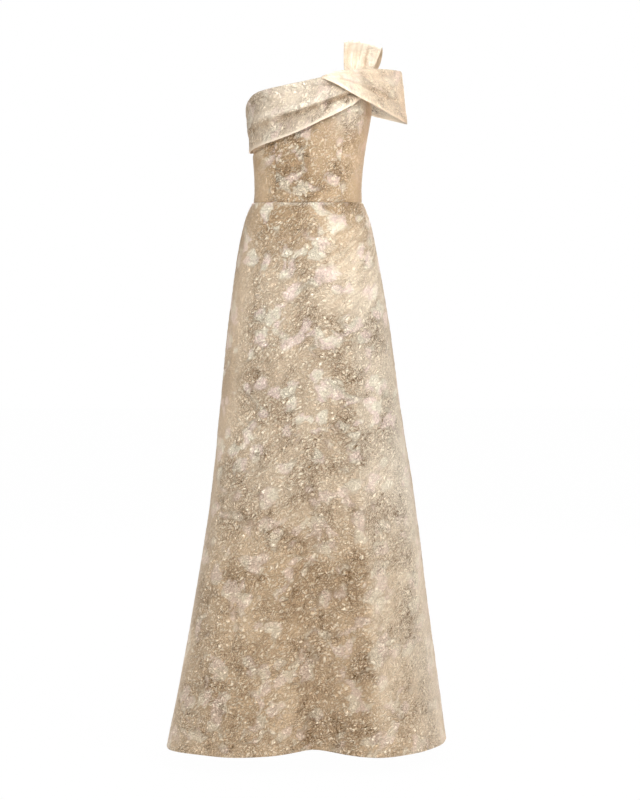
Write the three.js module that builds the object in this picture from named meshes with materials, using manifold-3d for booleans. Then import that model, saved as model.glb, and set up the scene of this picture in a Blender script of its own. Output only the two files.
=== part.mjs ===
// One-shoulder evening gown in its worn, hollow form: a fitted princess-seamed bodice, a fold-over
// neckline collar, a gathered shoulder strap, a pleated drape round the upper arm and an A-line skirt.
// Millimetres, +Z up, the front faces -Y, and +X is to the right of someone who looks at the front.
// Every cloth piece is a thin wall between two surfaces. Heights are given above the floor, which the
// hem just clears.
import * as THREE from 'three';
import { mergeVertices } from 'three/addons/utils/BufferGeometryUtils.js';
import Module from 'manifold-3d';

// Driving dimensions
const WAIST_HEIGHT = 1194;
const CLOTH = 1.6;
const FOLDED_CLOTH = 2.4;
const SEAM_GAP = 0.3;
const LAYER_GAP = 0.8;
const HEM_CLEARANCE = 38;
const HEM_LIFT = 10;
const HEM_LIFT_ANGLE = 4;
const HEM_LIFT_WIDTH = 18;
const SIDE_SEAM_ANGLE = 92;

// Bust fullness that the princess seams give
const BUST = { angle: 39, spread: 17, height: 1378, reach: 52, rise: 9 };

// Horizontal rings of the gown, from the floor up: half-widths, depths and how square the ring is
const RINGS = [
  { height: 0, left: 305, right: 296, front: 224, back: 246, square: 2.9 },
  { height: 120, left: 282, right: 281, front: 208, back: 229, square: 2.8 },
  { height: 330, left: 246, right: 254, front: 181, back: 199, square: 2.64 },
  { height: 550, left: 211, right: 228, front: 157, back: 173, square: 2.48 },
  { height: 780, left: 187, right: 193, front: 138, back: 150, square: 2.34 },
  { height: 930, left: 172, right: 173, front: 126, back: 138, square: 2.24 },
  { height: 1080, left: 152, right: 147, front: 111, back: 122, square: 2.18 },
  { height: 1150, left: 137, right: 132, front: 99, back: 107, square: 2.14 },
  { height: 1180, left: 126, right: 121, front: 91, back: 96, square: 2.12 },
  { height: 1194, left: 118, right: 115, front: 86, back: 89, square: 2.12 },
  { height: 1232, left: 116, right: 114, front: 85, back: 87, square: 2.12 },
  { height: 1284, left: 119, right: 119, front: 91, back: 89, square: 2.14 },
  { height: 1330, left: 124, right: 126, front: 102, back: 93, square: 2.16 },
  { height: 1385, left: 130, right: 135, front: 114, back: 99, square: 2.2 },
  { height: 1430, left: 129, right: 134, front: 112, back: 101, square: 2.2 },
  { height: 1480, left: 125, right: 130, front: 103, back: 99, square: 2.2 },
];

// Seam angles of the bodice, counted from the front towards the right
const SEAMS = [
  { height: 1194, frontPrincess: 47, backPrincess: 143 },
  { height: 1290, frontPrincess: 42, backPrincess: 142 },
  { height: 1385, frontPrincess: 38, backPrincess: 139 },
  { height: 1480, frontPrincess: 34, backPrincess: 136 },
];

// Height of the bodice's upper edge all round: a slanting neckline, an armhole dip on the right
const UPPER_EDGE = [
  { angle: -180, height: 1400 },
  { angle: -150, height: 1389 },
  { angle: -120, height: 1385 },
  { angle: -92, height: 1389 },
  { angle: -74, height: 1405 },
  { angle: -60, height: 1419 },
  { angle: -45, height: 1427 },
  { angle: -22, height: 1437 },
  { angle: 0, height: 1446 },
  { angle: 20, height: 1455 },
  { angle: 40, height: 1462 },
  { angle: 52, height: 1456 },
  { angle: 64, height: 1430 },
  { angle: 76, height: 1403 },
  { angle: 92, height: 1391 },
  { angle: 108, height: 1403 },
  { angle: 122, height: 1428 },
  { angle: 136, height: 1446 },
  { angle: 150, height: 1438 },
  { angle: 165, height: 1416 },
  { angle: 180, height: 1400 },
];

// Height of the fold-over collar's lower edge
const COLLAR_EDGE = [
  { angle: -180, height: 1338 },
  { angle: -140, height: 1312 },
  { angle: -92, height: 1299 },
  { angle: -44, height: 1320 },
  { angle: -12, height: 1343 },
  { angle: 24, height: 1377 },
  { angle: 38, height: 1394 },
  { angle: 60, height: 1416 },
  { angle: 128, height: 1404 },
  { angle: 150, height: 1372 },
  { angle: 180, height: 1338 },
];

// Soft skirt folds: outward (or inward) reach at the hem and the height where each one starts
const SKIRT_FOLDS = [
  { angle: -64, spread: 13, reach: 22, start: 900 },
  { angle: -38, spread: 12, reach: 18, start: 1050 },
  { angle: 4, spread: 17, reach: -34, start: 820 },
  { angle: 33, spread: 12, reach: 22, start: 1080 },
  { angle: 64, spread: 10, reach: -8, start: 760 },
  { angle: 90, spread: 12, reach: 6, start: 700 },
  { angle: 116, spread: 11, reach: 20, start: 900 },
  { angle: 140, spread: 11, reach: -22, start: 820 },
  { angle: 163, spread: 10, reach: 20, start: 1000 },
  { angle: 180, spread: 9, reach: -14, start: 700 },
  { angle: -160, spread: 10, reach: 22, start: 1000 },
  { angle: -136, spread: 11, reach: -20, start: 860 },
  { angle: -112, spread: 12, reach: 18, start: 880 },
];

// Pleats that lie along the collar: place across it, from the lower edge up, and reach outward
const COLLAR_PLEATS = [
  { across: 0.1, spread: 0.13, reach: 3.4 },
  { across: 0.6, spread: 0.16, reach: 5 },
  { across: 0.93, spread: 0.1, reach: 2 },
];

// The drape round the arm: its lower and upper edges, from the front neckline round to the back
const DRAPE = [
  { at: 0, lowX: 27, lowY: -114.3, lowZ: 1452, topX: 29, topY: -113.1, topZ: 1461 },
  { at: 0.1, lowX: 58, lowY: -112.6, lowZ: 1439, topX: 54, topY: -111.4, topZ: 1466 },
  { at: 0.21, lowX: 96, lowY: -103, lowZ: 1419, topX: 84, topY: -105.6, topZ: 1470 },
  { at: 0.33, lowX: 135, lowY: -84, lowZ: 1399, topX: 117, topY: -93, topZ: 1472 },
  { at: 0.44, lowX: 171, lowY: -57, lowZ: 1380, topX: 152, topY: -72, topZ: 1473 },
  { at: 0.53, lowX: 198, lowY: -28, lowZ: 1367, topX: 182, topY: -42, topZ: 1473 },
  { at: 0.61, lowX: 211, lowY: 3, lowZ: 1361, topX: 198, topY: -7, topZ: 1472 },
  { at: 0.69, lowX: 202, lowY: 38, lowZ: 1364, topX: 192, topY: 28, topZ: 1469 },
  { at: 0.79, lowX: 176, lowY: 69, lowZ: 1372, topX: 167, topY: 60, topZ: 1464 },
  { at: 0.87, lowX: 140, lowY: 91, lowZ: 1382, topX: 132, topY: 84, topZ: 1458 },
  { at: 0.94, lowX: 92, lowY: 103.4, lowZ: 1397, topX: 88, topY: 98.4, topZ: 1450 },
  { at: 1, lowX: 40, lowY: 105.6, lowZ: 1410, topX: 42, topY: 104.6, topZ: 1432 },
];

// Pleats that fan out along the drape: place across it and reach outward at its fullest
const DRAPE_PLEATS = [
  { across: 0.14, spread: 0.13, reach: 5 },
  { across: 0.66, spread: 0.11, reach: 8 },
  { across: 0.94, spread: 0.09, reach: 4 },
];

// The strap's two edges and how far it arches between them, from the front over to the back
const STRAP = [
  { at: 0, leftX: 81.8, leftY: -95.3, leftZ: 1450, rightX: 118.8, rightY: -64, rightZ: 1428, arch: 3.3 },
  { at: 0.09, leftX: 75, leftY: -99, leftZ: 1469, rightX: 133, rightY: -70, rightZ: 1464, arch: 2.2 },
  { at: 0.22, leftX: 74, leftY: -88, leftZ: 1501, rightX: 146, rightY: -60, rightZ: 1496, arch: 2 },
  { at: 0.36, leftX: 75, leftY: -56, leftZ: 1529, rightX: 154, rightY: -38, rightZ: 1515, arch: 6 },
  { at: 0.5, leftX: 76, leftY: -8, leftZ: 1540, rightX: 157, rightY: -4, rightZ: 1524, arch: 7 },
  { at: 0.64, leftX: 77, leftY: 36, leftZ: 1531, rightX: 159, rightY: 30, rightZ: 1515, arch: 6 },
  { at: 0.78, leftX: 78, leftY: 72, leftZ: 1502, rightX: 153, rightY: 56, rightZ: 1490, arch: 1 },
  { at: 0.91, leftX: 78, leftY: 91, leftZ: 1462, rightX: 134, rightY: 68, rightZ: 1455, arch: 2 },
  { at: 1, leftX: 79, leftY: 89.2, leftZ: 1434, rightX: 112.7, rightY: 66.4, rightZ: 1416, arch: 1.3 },
];
const STRAP_GATHERS = 5;
const STRAP_GATHER_REACH = 2.2;

// Invisible zip down the centre back: its tape, slider, the bridge that holds the tab, and the tab
const ZIP = { bottom: 1010, tapeWidth: 22, tapeThickness: 1, tapeGap: 0.95, opening: 1.6 };
const SLIDER = { width: 5, length: 9, thickness: 2.4, below: 14, seat: 4.85 };
const BRIDGE = { width: 1.6, bar: 1, hole: 2.2, reach: 2.6 };
const TAB = { width: 5.6, length: 21, thickness: 1.2, bar: 1.2, slot: 2.2, slotLength: 3.4, shoulder: 6 };
const TAB_AXIS = 1.5;

// Grid fineness: the number of steps round and up each kind of piece
const GRID = {
  skirtFront: [44, 14],
  skirtBack: [24, 14],
  bodice: [8, 10],
  collarFront: [32, 10],
  collarBack: [13, 9],
  drape: [36, 12],
  strap: [20, 16],
  tape: [2, 32],
};
const SKIRT_ROW_PACE = 1.7;

// Finishes
const BROCADE = new THREE.MeshStandardMaterial({ color: 0xcbb08a, roughness: 0.42, metalness: 0.55 });
const TAPE_CLOTH = new THREE.MeshStandardMaterial({ color: 0xb79b74, roughness: 0.8, metalness: 0 });
const GOLD_METAL = new THREE.MeshStandardMaterial({ color: 0xc9a86a, roughness: 0.3, metalness: 1 });

const { degToRad, lerp, clamp, smoothstep } = THREE.MathUtils;
const ANGLE_STEP = 0.5;
const GRID_STEP = 0.002;
const SETTLE_PASSES = 12;

// A smooth value of one column between a table's rows
function readTable(table, key, at, column) {
  const last = table.length - 1;
  let row = 0;
  while (row < last - 1 && at > table[row + 1][key]) row += 1;
  const slope = (index) => {
    const before = table[Math.max(index - 1, 0)];
    const after = table[Math.min(index + 1, last)];
    return (after[column] - before[column]) / (after[key] - before[key]);
  };
  const from = table[row];
  const to = table[row + 1];
  const span = to[key] - from[key];
  const t = clamp((at - from[key]) / span, 0, 1);
  const rest = 1 - t;
  const ends = rest * rest * (1 + 2 * t) * from[column] + t * t * (3 - 2 * t) * to[column];
  const bends = rest * rest * t * slope(row) - t * t * rest * slope(row + 1);
  return ends + bends * span;
}

// A bell-shaped hump, 1 at its middle
function hump(distance, spread) {
  return Math.exp(-((distance / spread) ** 2));
}

// The shorter way between two angles, in degrees
function turn(from, to) {
  return ((to - from + 540) % 360) - 180;
}

// How far the soft folds push the skirt out at an angle and height
function foldReach(angle, height) {
  let reach = 0;
  for (const fold of SKIRT_FOLDS) {
    const share = clamp((fold.start - height) / fold.start, 0, 1);
    reach += fold.reach * share ** 1.4 * hump(turn(fold.angle, angle), fold.spread);
  }
  return reach;
}

// How far the bust fullness pushes the bodice out
function bustReach(angle, height) {
  const sides = hump(angle - BUST.angle, BUST.spread) + hump(angle + BUST.angle, BUST.spread);
  return BUST.rise * sides * hump(height - BUST.height, BUST.reach);
}

// A point of the gown's outer surface, seen from above
function ringPlan(angle, height) {
  const ring = (column) => readTable(RINGS, 'height', height, column);
  const sine = Math.sin(degToRad(angle));
  const cosine = Math.cos(degToRad(angle));
  const halfWidth = sine < 0 ? ring('left') : ring('right');
  const depth = cosine > 0 ? ring('front') : ring('back');
  const square = ring('square');
  const sum = Math.abs(sine / halfWidth) ** square + Math.abs(cosine / depth) ** square;
  const radius = sum ** (-1 / square) + foldReach(angle, height) + bustReach(angle, height);
  return new THREE.Vector2(radius * sine, -radius * cosine);
}

// The same point in space, moved out square to the cloth by a distance
function ringPoint(angle, height, out) {
  const here = ringPlan(angle, height);
  const along = ringPlan(angle + ANGLE_STEP, height).sub(ringPlan(angle - ANGLE_STEP, height));
  along.normalize();
  return new THREE.Vector3(here.x + along.y * out, here.y - along.x * out, height);
}

// The angle that a distance along the cloth spans
function angleOf(distance, angle, height) {
  return THREE.MathUtils.radToDeg(distance / ringPlan(angle, height).length());
}

// A closed wall between an outer and an inner surface, each a function of across and up from 0 to 1
function wall(name, material, [columns, rows], outer, inner) {
  const corners = [];
  const faces = [];
  for (const surface of [outer, inner]) {
    for (let row = 0; row <= rows; row += 1) {
      for (let column = 0; column <= columns; column += 1) {
        corners.push(...surface(column / columns, row / rows).toArray());
      }
    }
  }
  const width = columns + 1;
  const layer = width * (rows + 1);
  const quad = (a, b, c, d) => faces.push(a, b, c, a, c, d);
  for (let row = 0; row < rows; row += 1) {
    for (let column = 0; column < columns; column += 1) {
      const a = row * width + column;
      quad(a, a + 1, a + width + 1, a + width);
      quad(layer + a, layer + a + width, layer + a + width + 1, layer + a + 1);
    }
  }
  for (let column = 0; column < columns; column += 1) {
    const top = rows * width + column;
    quad(column, layer + column, layer + column + 1, column + 1);
    quad(top, top + 1, layer + top + 1, layer + top);
  }
  for (let row = 0; row < rows; row += 1) {
    const left = row * width;
    const right = left + columns;
    quad(left, left + width, layer + left + width, layer + left);
    quad(right, layer + right, layer + right + width, right + width);
  }
  const geometry = new THREE.BufferGeometry();
  geometry.setAttribute('position', new THREE.Float32BufferAttribute(corners, 3));
  geometry.setIndex(faces);
  geometry.computeVertexNormals();
  const mesh = new THREE.Mesh(geometry, material);
  mesh.name = name;
  return mesh;
}

// A wall that keeps one thickness behind a free surface
function sheet(name, material, grid, surface, thickness) {
  const inner = (across, up) => {
    const left = surface(Math.max(across - GRID_STEP, 0), up);
    const right = surface(Math.min(across + GRID_STEP, 1), up);
    const below = surface(across, Math.max(up - GRID_STEP, 0));
    const above = surface(across, Math.min(up + GRID_STEP, 1));
    const outward = right.sub(left).cross(above.sub(below)).normalize();
    return surface(across, up).addScaledVector(outward, -thickness);
  };
  return wall(name, material, grid, surface, inner);
}

// A panel of the gown's own surface between two seams and two edges, each a function
function panel(name, material, grid, seams, edges, [outerOut, innerOut]) {
  const half = SEAM_GAP / 2;
  const angleAt = (across, height) => {
    const from = seams.left(height);
    const to = seams.right(height);
    const leftAngle = from + angleOf(seams.leftGap ?? half, from, height);
    const rightAngle = to - angleOf(seams.rightGap ?? half, to, height);
    return lerp(leftAngle, rightAngle, across);
  };
  const place = (across, step, out) => {
    const up = 1 - (1 - step) ** (edges.pace ?? 1);
    let height = edges.middle;
    for (let pass = 0; pass < SETTLE_PASSES; pass += 1) {
      const near = angleAt(across, height);
      height = lerp(height, lerp(edges.low(near), edges.high(near), up), 0.5);
    }
    const angle = angleAt(across, height);
    height = lerp(edges.low(angle), edges.high(angle), up);
    return ringPoint(angle, height, out(across, up, angle, height));
  };
  const outer = (across, up) => place(across, up, outerOut);
  const inner = (across, up) => place(across, up, innerOut);
  return wall(name, material, grid, outer, inner);
}

const flat = (distance) => () => distance;
const upperEdge = (angle) => readTable(UPPER_EDGE, 'angle', angle, 'height');
const collarEdge = (angle) => readTable(COLLAR_EDGE, 'angle', angle, 'height');
const hemEdge = (angle) => HEM_CLEARANCE + HEM_LIFT * hump(turn(HEM_LIFT_ANGLE, angle), HEM_LIFT_WIDTH);
const seamAngle = (column, side) => (height) => side * readTable(SEAMS, 'height', height, column);

// Seven bodice panels between princess, side and centre back seams
function bodicePanels() {
  const edges = { low: flat(WAIST_HEIGHT + SEAM_GAP / 2), high: upperEdge, middle: 1300 };
  const depths = [flat(0), flat(-CLOTH)];
  const zip = ZIP.opening / 2;
  const panels = [
    ['bodice_centre_front', seamAngle('frontPrincess', -1), seamAngle('frontPrincess', 1)],
    ['bodice_side_front_left', flat(-SIDE_SEAM_ANGLE), seamAngle('frontPrincess', -1)],
    ['bodice_side_front_right', seamAngle('frontPrincess', 1), flat(SIDE_SEAM_ANGLE)],
    ['bodice_side_back_left', seamAngle('backPrincess', -1), flat(-SIDE_SEAM_ANGLE)],
    ['bodice_side_back_right', flat(SIDE_SEAM_ANGLE), seamAngle('backPrincess', 1)],
    ['bodice_back_left', flat(-180), seamAngle('backPrincess', -1), zip],
    ['bodice_back_right', seamAngle('backPrincess', 1), flat(180), undefined, zip],
  ];
  return panels.map(([name, left, right, leftGap, rightGap]) =>
    panel(name, BROCADE, GRID.bodice, { left, right, leftGap, rightGap }, edges, depths));
}

// How far the collar's soft pleats stand out; they fade towards its ends and the left side
function collarReach(up, fullness) {
  let reach = 0;
  for (const pleat of COLLAR_PLEATS) reach += pleat.reach * hump(up - pleat.across, pleat.spread);
  return reach * fullness;
}

// The fold-over collar: a front piece and two back pieces, which lie on the bodice
function collarPieces() {
  const edges = { low: collarEdge, high: (angle) => upperEdge(angle) + CLOTH, middle: 1380 };
  const outs = (fullness) => {
    const inner = (across, up) => LAYER_GAP + collarReach(up, fullness(across));
    return [(across, up) => inner(across, up) + FOLDED_CLOTH, inner];
  };
  const flattening = (across) => lerp(1, 0.35, smoothstep(across, 0.75, 0.95));
  const risingRight = (across) => smoothstep(across, -0.1, 0.6) * flattening(across);
  const risingBack = (across) => smoothstep(across, 0, 1);
  const zip = ZIP.opening / 2;
  // The front piece ends on a slant under the drape
  const slant = (height) => lerp(64, 22, smoothstep(height, 1405, 1470));
  const front = { left: flat(-SIDE_SEAM_ANGLE), right: slant };
  const left = { left: flat(-180), right: flat(-SIDE_SEAM_ANGLE), leftGap: zip };
  const right = { left: flat(146), right: flat(180), rightGap: zip };
  const fadingRight = outs((across) => 0.4 * risingBack(1 - across));
  const fadingLeft = outs((across) => 0.4 + 0.3 * risingBack(1 - across));
  return [
    panel('collar_front', BROCADE, GRID.collarFront, front, { ...edges, middle: 1400 }, outs(risingRight)),
    panel('collar_back_left', BROCADE, GRID.collarBack, left, edges, fadingRight),
    panel('collar_back_right', BROCADE, GRID.collarBack, right, edges, fadingLeft),
  ];
}

// A point between two edges of a table, the edges' columns named by their first words
function between(table, at, across, [first, second]) {
  const edge = (word) => new THREE.Vector3(
    readTable(table, 'at', at, `${word}X`),
    readTable(table, 'at', at, `${word}Y`),
    readTable(table, 'at', at, `${word}Z`),
  );
  return edge(first).lerp(edge(second), across);
}

// The pleated drape that crosses the front shoulder and goes round the upper arm
function armDrape() {
  const surface = (along, across) => {
    const place = between(DRAPE, along, across, ['low', 'top']);
    const fullness = smoothstep(along, 0, 0.4) * smoothstep(1 - along, 0, 0.3);
    let reach = 0;
    for (const pleat of DRAPE_PLEATS) reach += pleat.reach * hump(across - pleat.across, pleat.spread);
    const outward = between(DRAPE, Math.min(along + GRID_STEP, 1), 0.5, ['low', 'top'])
      .sub(between(DRAPE, Math.max(along - GRID_STEP, 0), 0.5, ['low', 'top']))
      .cross(new THREE.Vector3(0, 0, 1))
      .normalize();
    return place.addScaledVector(outward, reach * fullness);
  };
  return sheet('arm_drape', BROCADE, GRID.drape, surface, FOLDED_CLOTH);
}

// The gathered strap over the shoulder
function strapSurface(across, along) {
  const place = between(STRAP, along, across, ['left', 'right']);
  const step = GRID_STEP;
  const ahead = between(STRAP, Math.min(along + step, 1), across, ['left', 'right']);
  const behind = between(STRAP, Math.max(along - step, 0), across, ['left', 'right']);
  const side = between(STRAP, along, 1, ['left', 'right']).sub(between(STRAP, along, 0, ['left', 'right']));
  const outward = side.cross(ahead.sub(behind)).normalize();
  const wave = Math.cos(2 * Math.PI * STRAP_GATHERS * across);
  const fullness = lerp(0.5, 1, Math.sin(Math.PI * along));
  const arch = readTable(STRAP, 'at', along, 'arch') * 4 * across * (1 - across);
  return place.addScaledVector(outward, arch + STRAP_GATHER_REACH * wave * fullness);
}

// Three skirt panels: the front, and two backs that meet at the zip
function skirtPanels() {
  const high = flat(WAIST_HEIGHT - SEAM_GAP / 2);
  const edges = { low: hemEdge, high, middle: 600, pace: SKIRT_ROW_PACE };
  const depths = [flat(0), flat(-CLOTH)];
  const left = flat(-SIDE_SEAM_ANGLE);
  const right = flat(SIDE_SEAM_ANGLE);
  return [
    panel('skirt_front', BROCADE, GRID.skirtFront, { left, right }, edges, depths),
    panel('skirt_back_left', BROCADE, GRID.skirtBack, { left: flat(-180), right: left }, edges, depths),
    panel('skirt_back_right', BROCADE, GRID.skirtBack, { left: right, right: flat(180) }, edges, depths),
  ];
}

// The zip's closed tape, just inside the centre back seam
function zipTape() {
  const half = (height) => angleOf(ZIP.tapeWidth / 2, 180, height);
  const seams = { left: (height) => 180 - half(height), right: (height) => 180 + half(height) };
  const edges = { low: flat(ZIP.bottom), high: flat(upperEdge(180) - CLOTH), middle: 1200 };
  const outer = -CLOTH - ZIP.tapeGap;
  const depths = [flat(outer), flat(outer - ZIP.tapeThickness)];
  return panel('zip_tape', TAPE_CLOTH, GRID.tape, seams, edges, depths);
}

// A closed geometry as a solid that can be joined to another
function solidOf(geometry) {
  const bare = geometry.clone();
  bare.deleteAttribute('normal');
  bare.deleteAttribute('uv');
  const merged = mergeVertices(bare, 1e-4);
  return new wasm.Manifold(new wasm.Mesh({
    numProp: 3,
    vertProperties: merged.attributes.position.array,
    triVerts: new Uint32Array(merged.index.array),
  }));
}

// A joined solid as a geometry again
function geometryOf(solid) {
  const made = solid.getMesh();
  const geometry = new THREE.BufferGeometry();
  geometry.setAttribute('position', new THREE.BufferAttribute(made.vertProperties, 3));
  geometry.setIndex(new THREE.BufferAttribute(made.triVerts, 1));
  geometry.computeVertexNormals();
  return geometry;
}

function rectangle(shape, left, low, right, high) {
  shape.moveTo(left, low);
  shape.lineTo(right, low);
  shape.lineTo(right, high);
  shape.lineTo(left, high);
  shape.closePath();
  return shape;
}

// The slider: a flat block on the collar, with a bridge that stands out of it to hold the tab
function zipSlider() {
  const block = new THREE.BoxGeometry(SLIDER.width, SLIDER.thickness, SLIDER.length);
  block.translate(0, SLIDER.thickness / 2, 0);
  const half = BRIDGE.hole / 2;
  const sunk = -SLIDER.thickness / 2;
  const side = half + BRIDGE.bar;
  const profile = rectangle(new THREE.Shape(), sunk, -side, BRIDGE.reach + BRIDGE.bar, side);
  profile.holes.push(rectangle(new THREE.Path(), 0, -half, BRIDGE.reach, half));
  const bridge = new THREE.ExtrudeGeometry(profile, { depth: BRIDGE.width, bevelEnabled: false });
  // Turned so that the profile's first axis points out of the back and its second one up
  bridge.translate(0, 0, -BRIDGE.width / 2);
  const outOfTheBack = new THREE.Matrix4().makeBasis(
    new THREE.Vector3(0, 1, 0),
    new THREE.Vector3(0, 0, 1),
    new THREE.Vector3(1, 0, 0),
  );
  bridge.applyMatrix4(outOfTheBack);
  bridge.translate(0, SLIDER.thickness, 0);
  const slider = new THREE.Mesh(geometryOf(solidOf(block).add(solidOf(bridge))), GOLD_METAL);
  slider.name = 'zip_slider';
  return slider;
}

// The tab: a teardrop plate that hangs by a bar inside the bridge
function zipTab() {
  const neck = TAB.width / 2;
  const bottom = -TAB.length;
  const outline = new THREE.Shape();
  outline.moveTo(-neck, TAB.bar / 2);
  outline.lineTo(-neck, -TAB.shoulder);
  outline.absarc(0, bottom + neck, neck * 0.7, Math.PI, 2 * Math.PI, false);
  outline.lineTo(neck, -TAB.shoulder);
  outline.lineTo(neck, TAB.bar / 2);
  outline.closePath();
  const slotTop = -TAB.bar / 2;
  outline.holes.push(rectangle(new THREE.Path(), -TAB.slot / 2, -TAB.slotLength, TAB.slot / 2, slotTop));
  const plate = new THREE.ExtrudeGeometry(outline, {
    depth: TAB.thickness,
    bevelEnabled: false,
    curveSegments: 8,
  });
  plate.translate(0, 0, -TAB.thickness / 2);
  plate.rotateX(Math.PI / 2);
  const tab = new THREE.Mesh(plate, GOLD_METAL);
  tab.name = 'zip_tab';
  return tab;
}

// The slider and its tab, placed near the top of the centre back
function zipPull() {
  const pull = new THREE.Group();
  const tab = zipTab();
  tab.position.y = SLIDER.thickness + TAB_AXIS;
  pull.add(zipSlider(), tab);
  const height = upperEdge(180) - SLIDER.below;
  pull.position.copy(ringPoint(180, height, SLIDER.seat));
  return pull;
}

const wasm = await Module();
wasm.setup();

const strap = sheet('shoulder_strap', BROCADE, GRID.strap, strapSurface, CLOTH);

// The origin is the strap's underside at the top of the shoulder, where the wearer holds the gown up
const hold = strapSurface(0.5, 0.5).addScaledVector(new THREE.Vector3(0, 0, 1), -CLOTH);

const gown = new THREE.Group();
gown.add(...bodicePanels(), ...collarPieces(), armDrape(), strap, ...skirtPanels(), zipTape(), zipPull());
gown.position.copy(hold).negate();

export default gown;
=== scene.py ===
# %% [markdown]
# # A one-shoulder evening dress in crinkled gold brocade
# The dress hangs hollow, as if it were worn: a princess-seamed bodice, a fold-over collar, a gathered
# strap, a pleated drape round the arm and an A-line skirt. This file dresses the CAD solids as cloth.
# The first cell loads those solids as a fixed frame.

# %% The frame
import bmesh
import bpy
import numpy as np
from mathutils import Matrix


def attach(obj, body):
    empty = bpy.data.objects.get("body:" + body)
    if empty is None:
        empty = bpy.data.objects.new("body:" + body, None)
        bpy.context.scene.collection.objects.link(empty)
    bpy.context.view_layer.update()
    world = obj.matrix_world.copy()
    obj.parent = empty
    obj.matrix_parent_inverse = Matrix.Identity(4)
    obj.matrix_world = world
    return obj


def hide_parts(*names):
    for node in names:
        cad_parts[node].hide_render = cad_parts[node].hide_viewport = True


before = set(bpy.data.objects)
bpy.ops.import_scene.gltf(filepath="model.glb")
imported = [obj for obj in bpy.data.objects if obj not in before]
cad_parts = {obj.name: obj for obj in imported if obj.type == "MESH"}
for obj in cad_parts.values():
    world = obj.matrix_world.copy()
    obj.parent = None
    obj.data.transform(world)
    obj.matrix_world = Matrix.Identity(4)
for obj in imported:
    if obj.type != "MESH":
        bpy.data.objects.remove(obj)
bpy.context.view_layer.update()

# %% Into the scene
def stand(name, data):
    """A new object of the scene, at the origin"""
    made = bpy.data.objects.new(name, data)
    bpy.context.scene.collection.objects.link(made)
    return made


# %% [markdown]
# ## The measurements
# A dressmaker works from a few measurements and blends between them. Here each table holds such
# measurements in millimetres, with heights above the floor, and one function reads a smooth value
# between its rows. The tables are those of the solids, so the cloth lies exactly where they are.
# The same shapes could be sculpted by hand, but then they would drift from the solids.

# %% Tables and a smooth reader
def table(names, *rows):
    return dict(zip(names.split(), np.array(rows, float).T))


def read(measures, at, column):
    """A smooth value of one column at a place along the table's first column"""
    keys = next(iter(measures.values()))
    values = measures[column]
    last = len(keys) - 1
    at = np.asarray(at, float)
    before, after = np.maximum(np.arange(last + 1) - 1, 0), np.minimum(np.arange(last + 1) + 1, last)
    slopes = (values[after] - values[before]) / (keys[after] - keys[before])
    row = np.clip(np.searchsorted(keys[1:last], at, side="left"), 0, last - 1)
    span = keys[row + 1] - keys[row]
    t = np.clip((at - keys[row]) / span, 0, 1)
    rest = 1 - t
    ends = rest * rest * (1 + 2 * t) * values[row] + t * t * (3 - 2 * t) * values[row + 1]
    return ends + (rest * rest * t * slopes[row] - t * t * rest * slopes[row + 1]) * span


def hump(distance, spread):
    return np.exp(-((distance / spread) ** 2))


def turn(start, end):
    return ((end - start + 540) % 360) - 180


def blend(start, end, share):
    return start + (end - start) * share


def ease(value, low, high):
    """0 below low, 1 above high and a soft step between"""
    t = np.clip((np.asarray(value, float) - low) / (high - low), 0, 1)
    return t * t * (3 - 2 * t)


print("a hump 1 spread away is", round(float(hump(1, 1)), 3))

# %% The dress's own measurements
WAIST = 1194
CLOTH = 1.6
FOLDED_CLOTH = 2.4
SEAM_GAP = 0.3
LAYER_GAP = 0.8
SIDE_SEAM = 92
HEM_CLEARANCE, HEM_LIFT, HEM_LIFT_ANGLE, HEM_LIFT_WIDTH = 38, 10, 4, 18
BUST = {"angle": 39, "spread": 17, "height": 1378, "reach": 52, "rise": 9}

RINGS = table(
    "height left right front back square",
    (0, 305, 296, 224, 246, 2.9), (120, 282, 281, 208, 229, 2.8), (330, 246, 254, 181, 199, 2.64),
    (550, 211, 228, 157, 173, 2.48), (780, 187, 193, 138, 150, 2.34), (930, 172, 173, 126, 138, 2.24),
    (1080, 152, 147, 111, 122, 2.18), (1150, 137, 132, 99, 107, 2.14), (1180, 126, 121, 91, 96, 2.12),
    (WAIST, 118, 115, 86, 89, 2.12), (1232, 116, 114, 85, 87, 2.12), (1284, 119, 119, 91, 89, 2.14),
    (1330, 124, 126, 102, 93, 2.16), (1385, 130, 135, 114, 99, 2.2), (1430, 129, 134, 112, 101, 2.2),
    (1480, 125, 130, 103, 99, 2.2))
SEAMS = table("height front back", (WAIST, 47, 143), (1290, 42, 142), (1385, 38, 139), (1480, 34, 136))
UPPER_EDGE = table(
    "angle height",
    (-180, 1400), (-150, 1389), (-120, 1385), (-92, 1389), (-74, 1405), (-60, 1419), (-45, 1427),
    (-22, 1437), (0, 1446), (20, 1455), (40, 1462), (52, 1456), (64, 1430), (76, 1403), (92, 1391),
    (108, 1403), (122, 1428), (136, 1446), (150, 1438), (165, 1416), (180, 1400))
COLLAR_EDGE = table(
    "angle height",
    (-180, 1338), (-140, 1312), (-92, 1299), (-44, 1320), (-12, 1343), (24, 1377), (38, 1394),
    (60, 1416), (128, 1404), (150, 1372), (180, 1338))
SKIRT_FOLDS = table(
    "angle spread reach start",
    (-64, 13, 22, 900), (-38, 12, 18, 1050), (4, 17, -34, 820), (33, 12, 22, 1080), (64, 10, -8, 760),
    (90, 12, 6, 700), (116, 11, 20, 900), (140, 11, -22, 820), (163, 10, 20, 1000), (180, 9, -14, 700),
    (-160, 10, 22, 1000), (-136, 11, -20, 860), (-112, 12, 18, 880))
print("measurements for", len(RINGS["height"]), "rings and", len(SKIRT_FOLDS["angle"]), "skirt folds")

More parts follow.
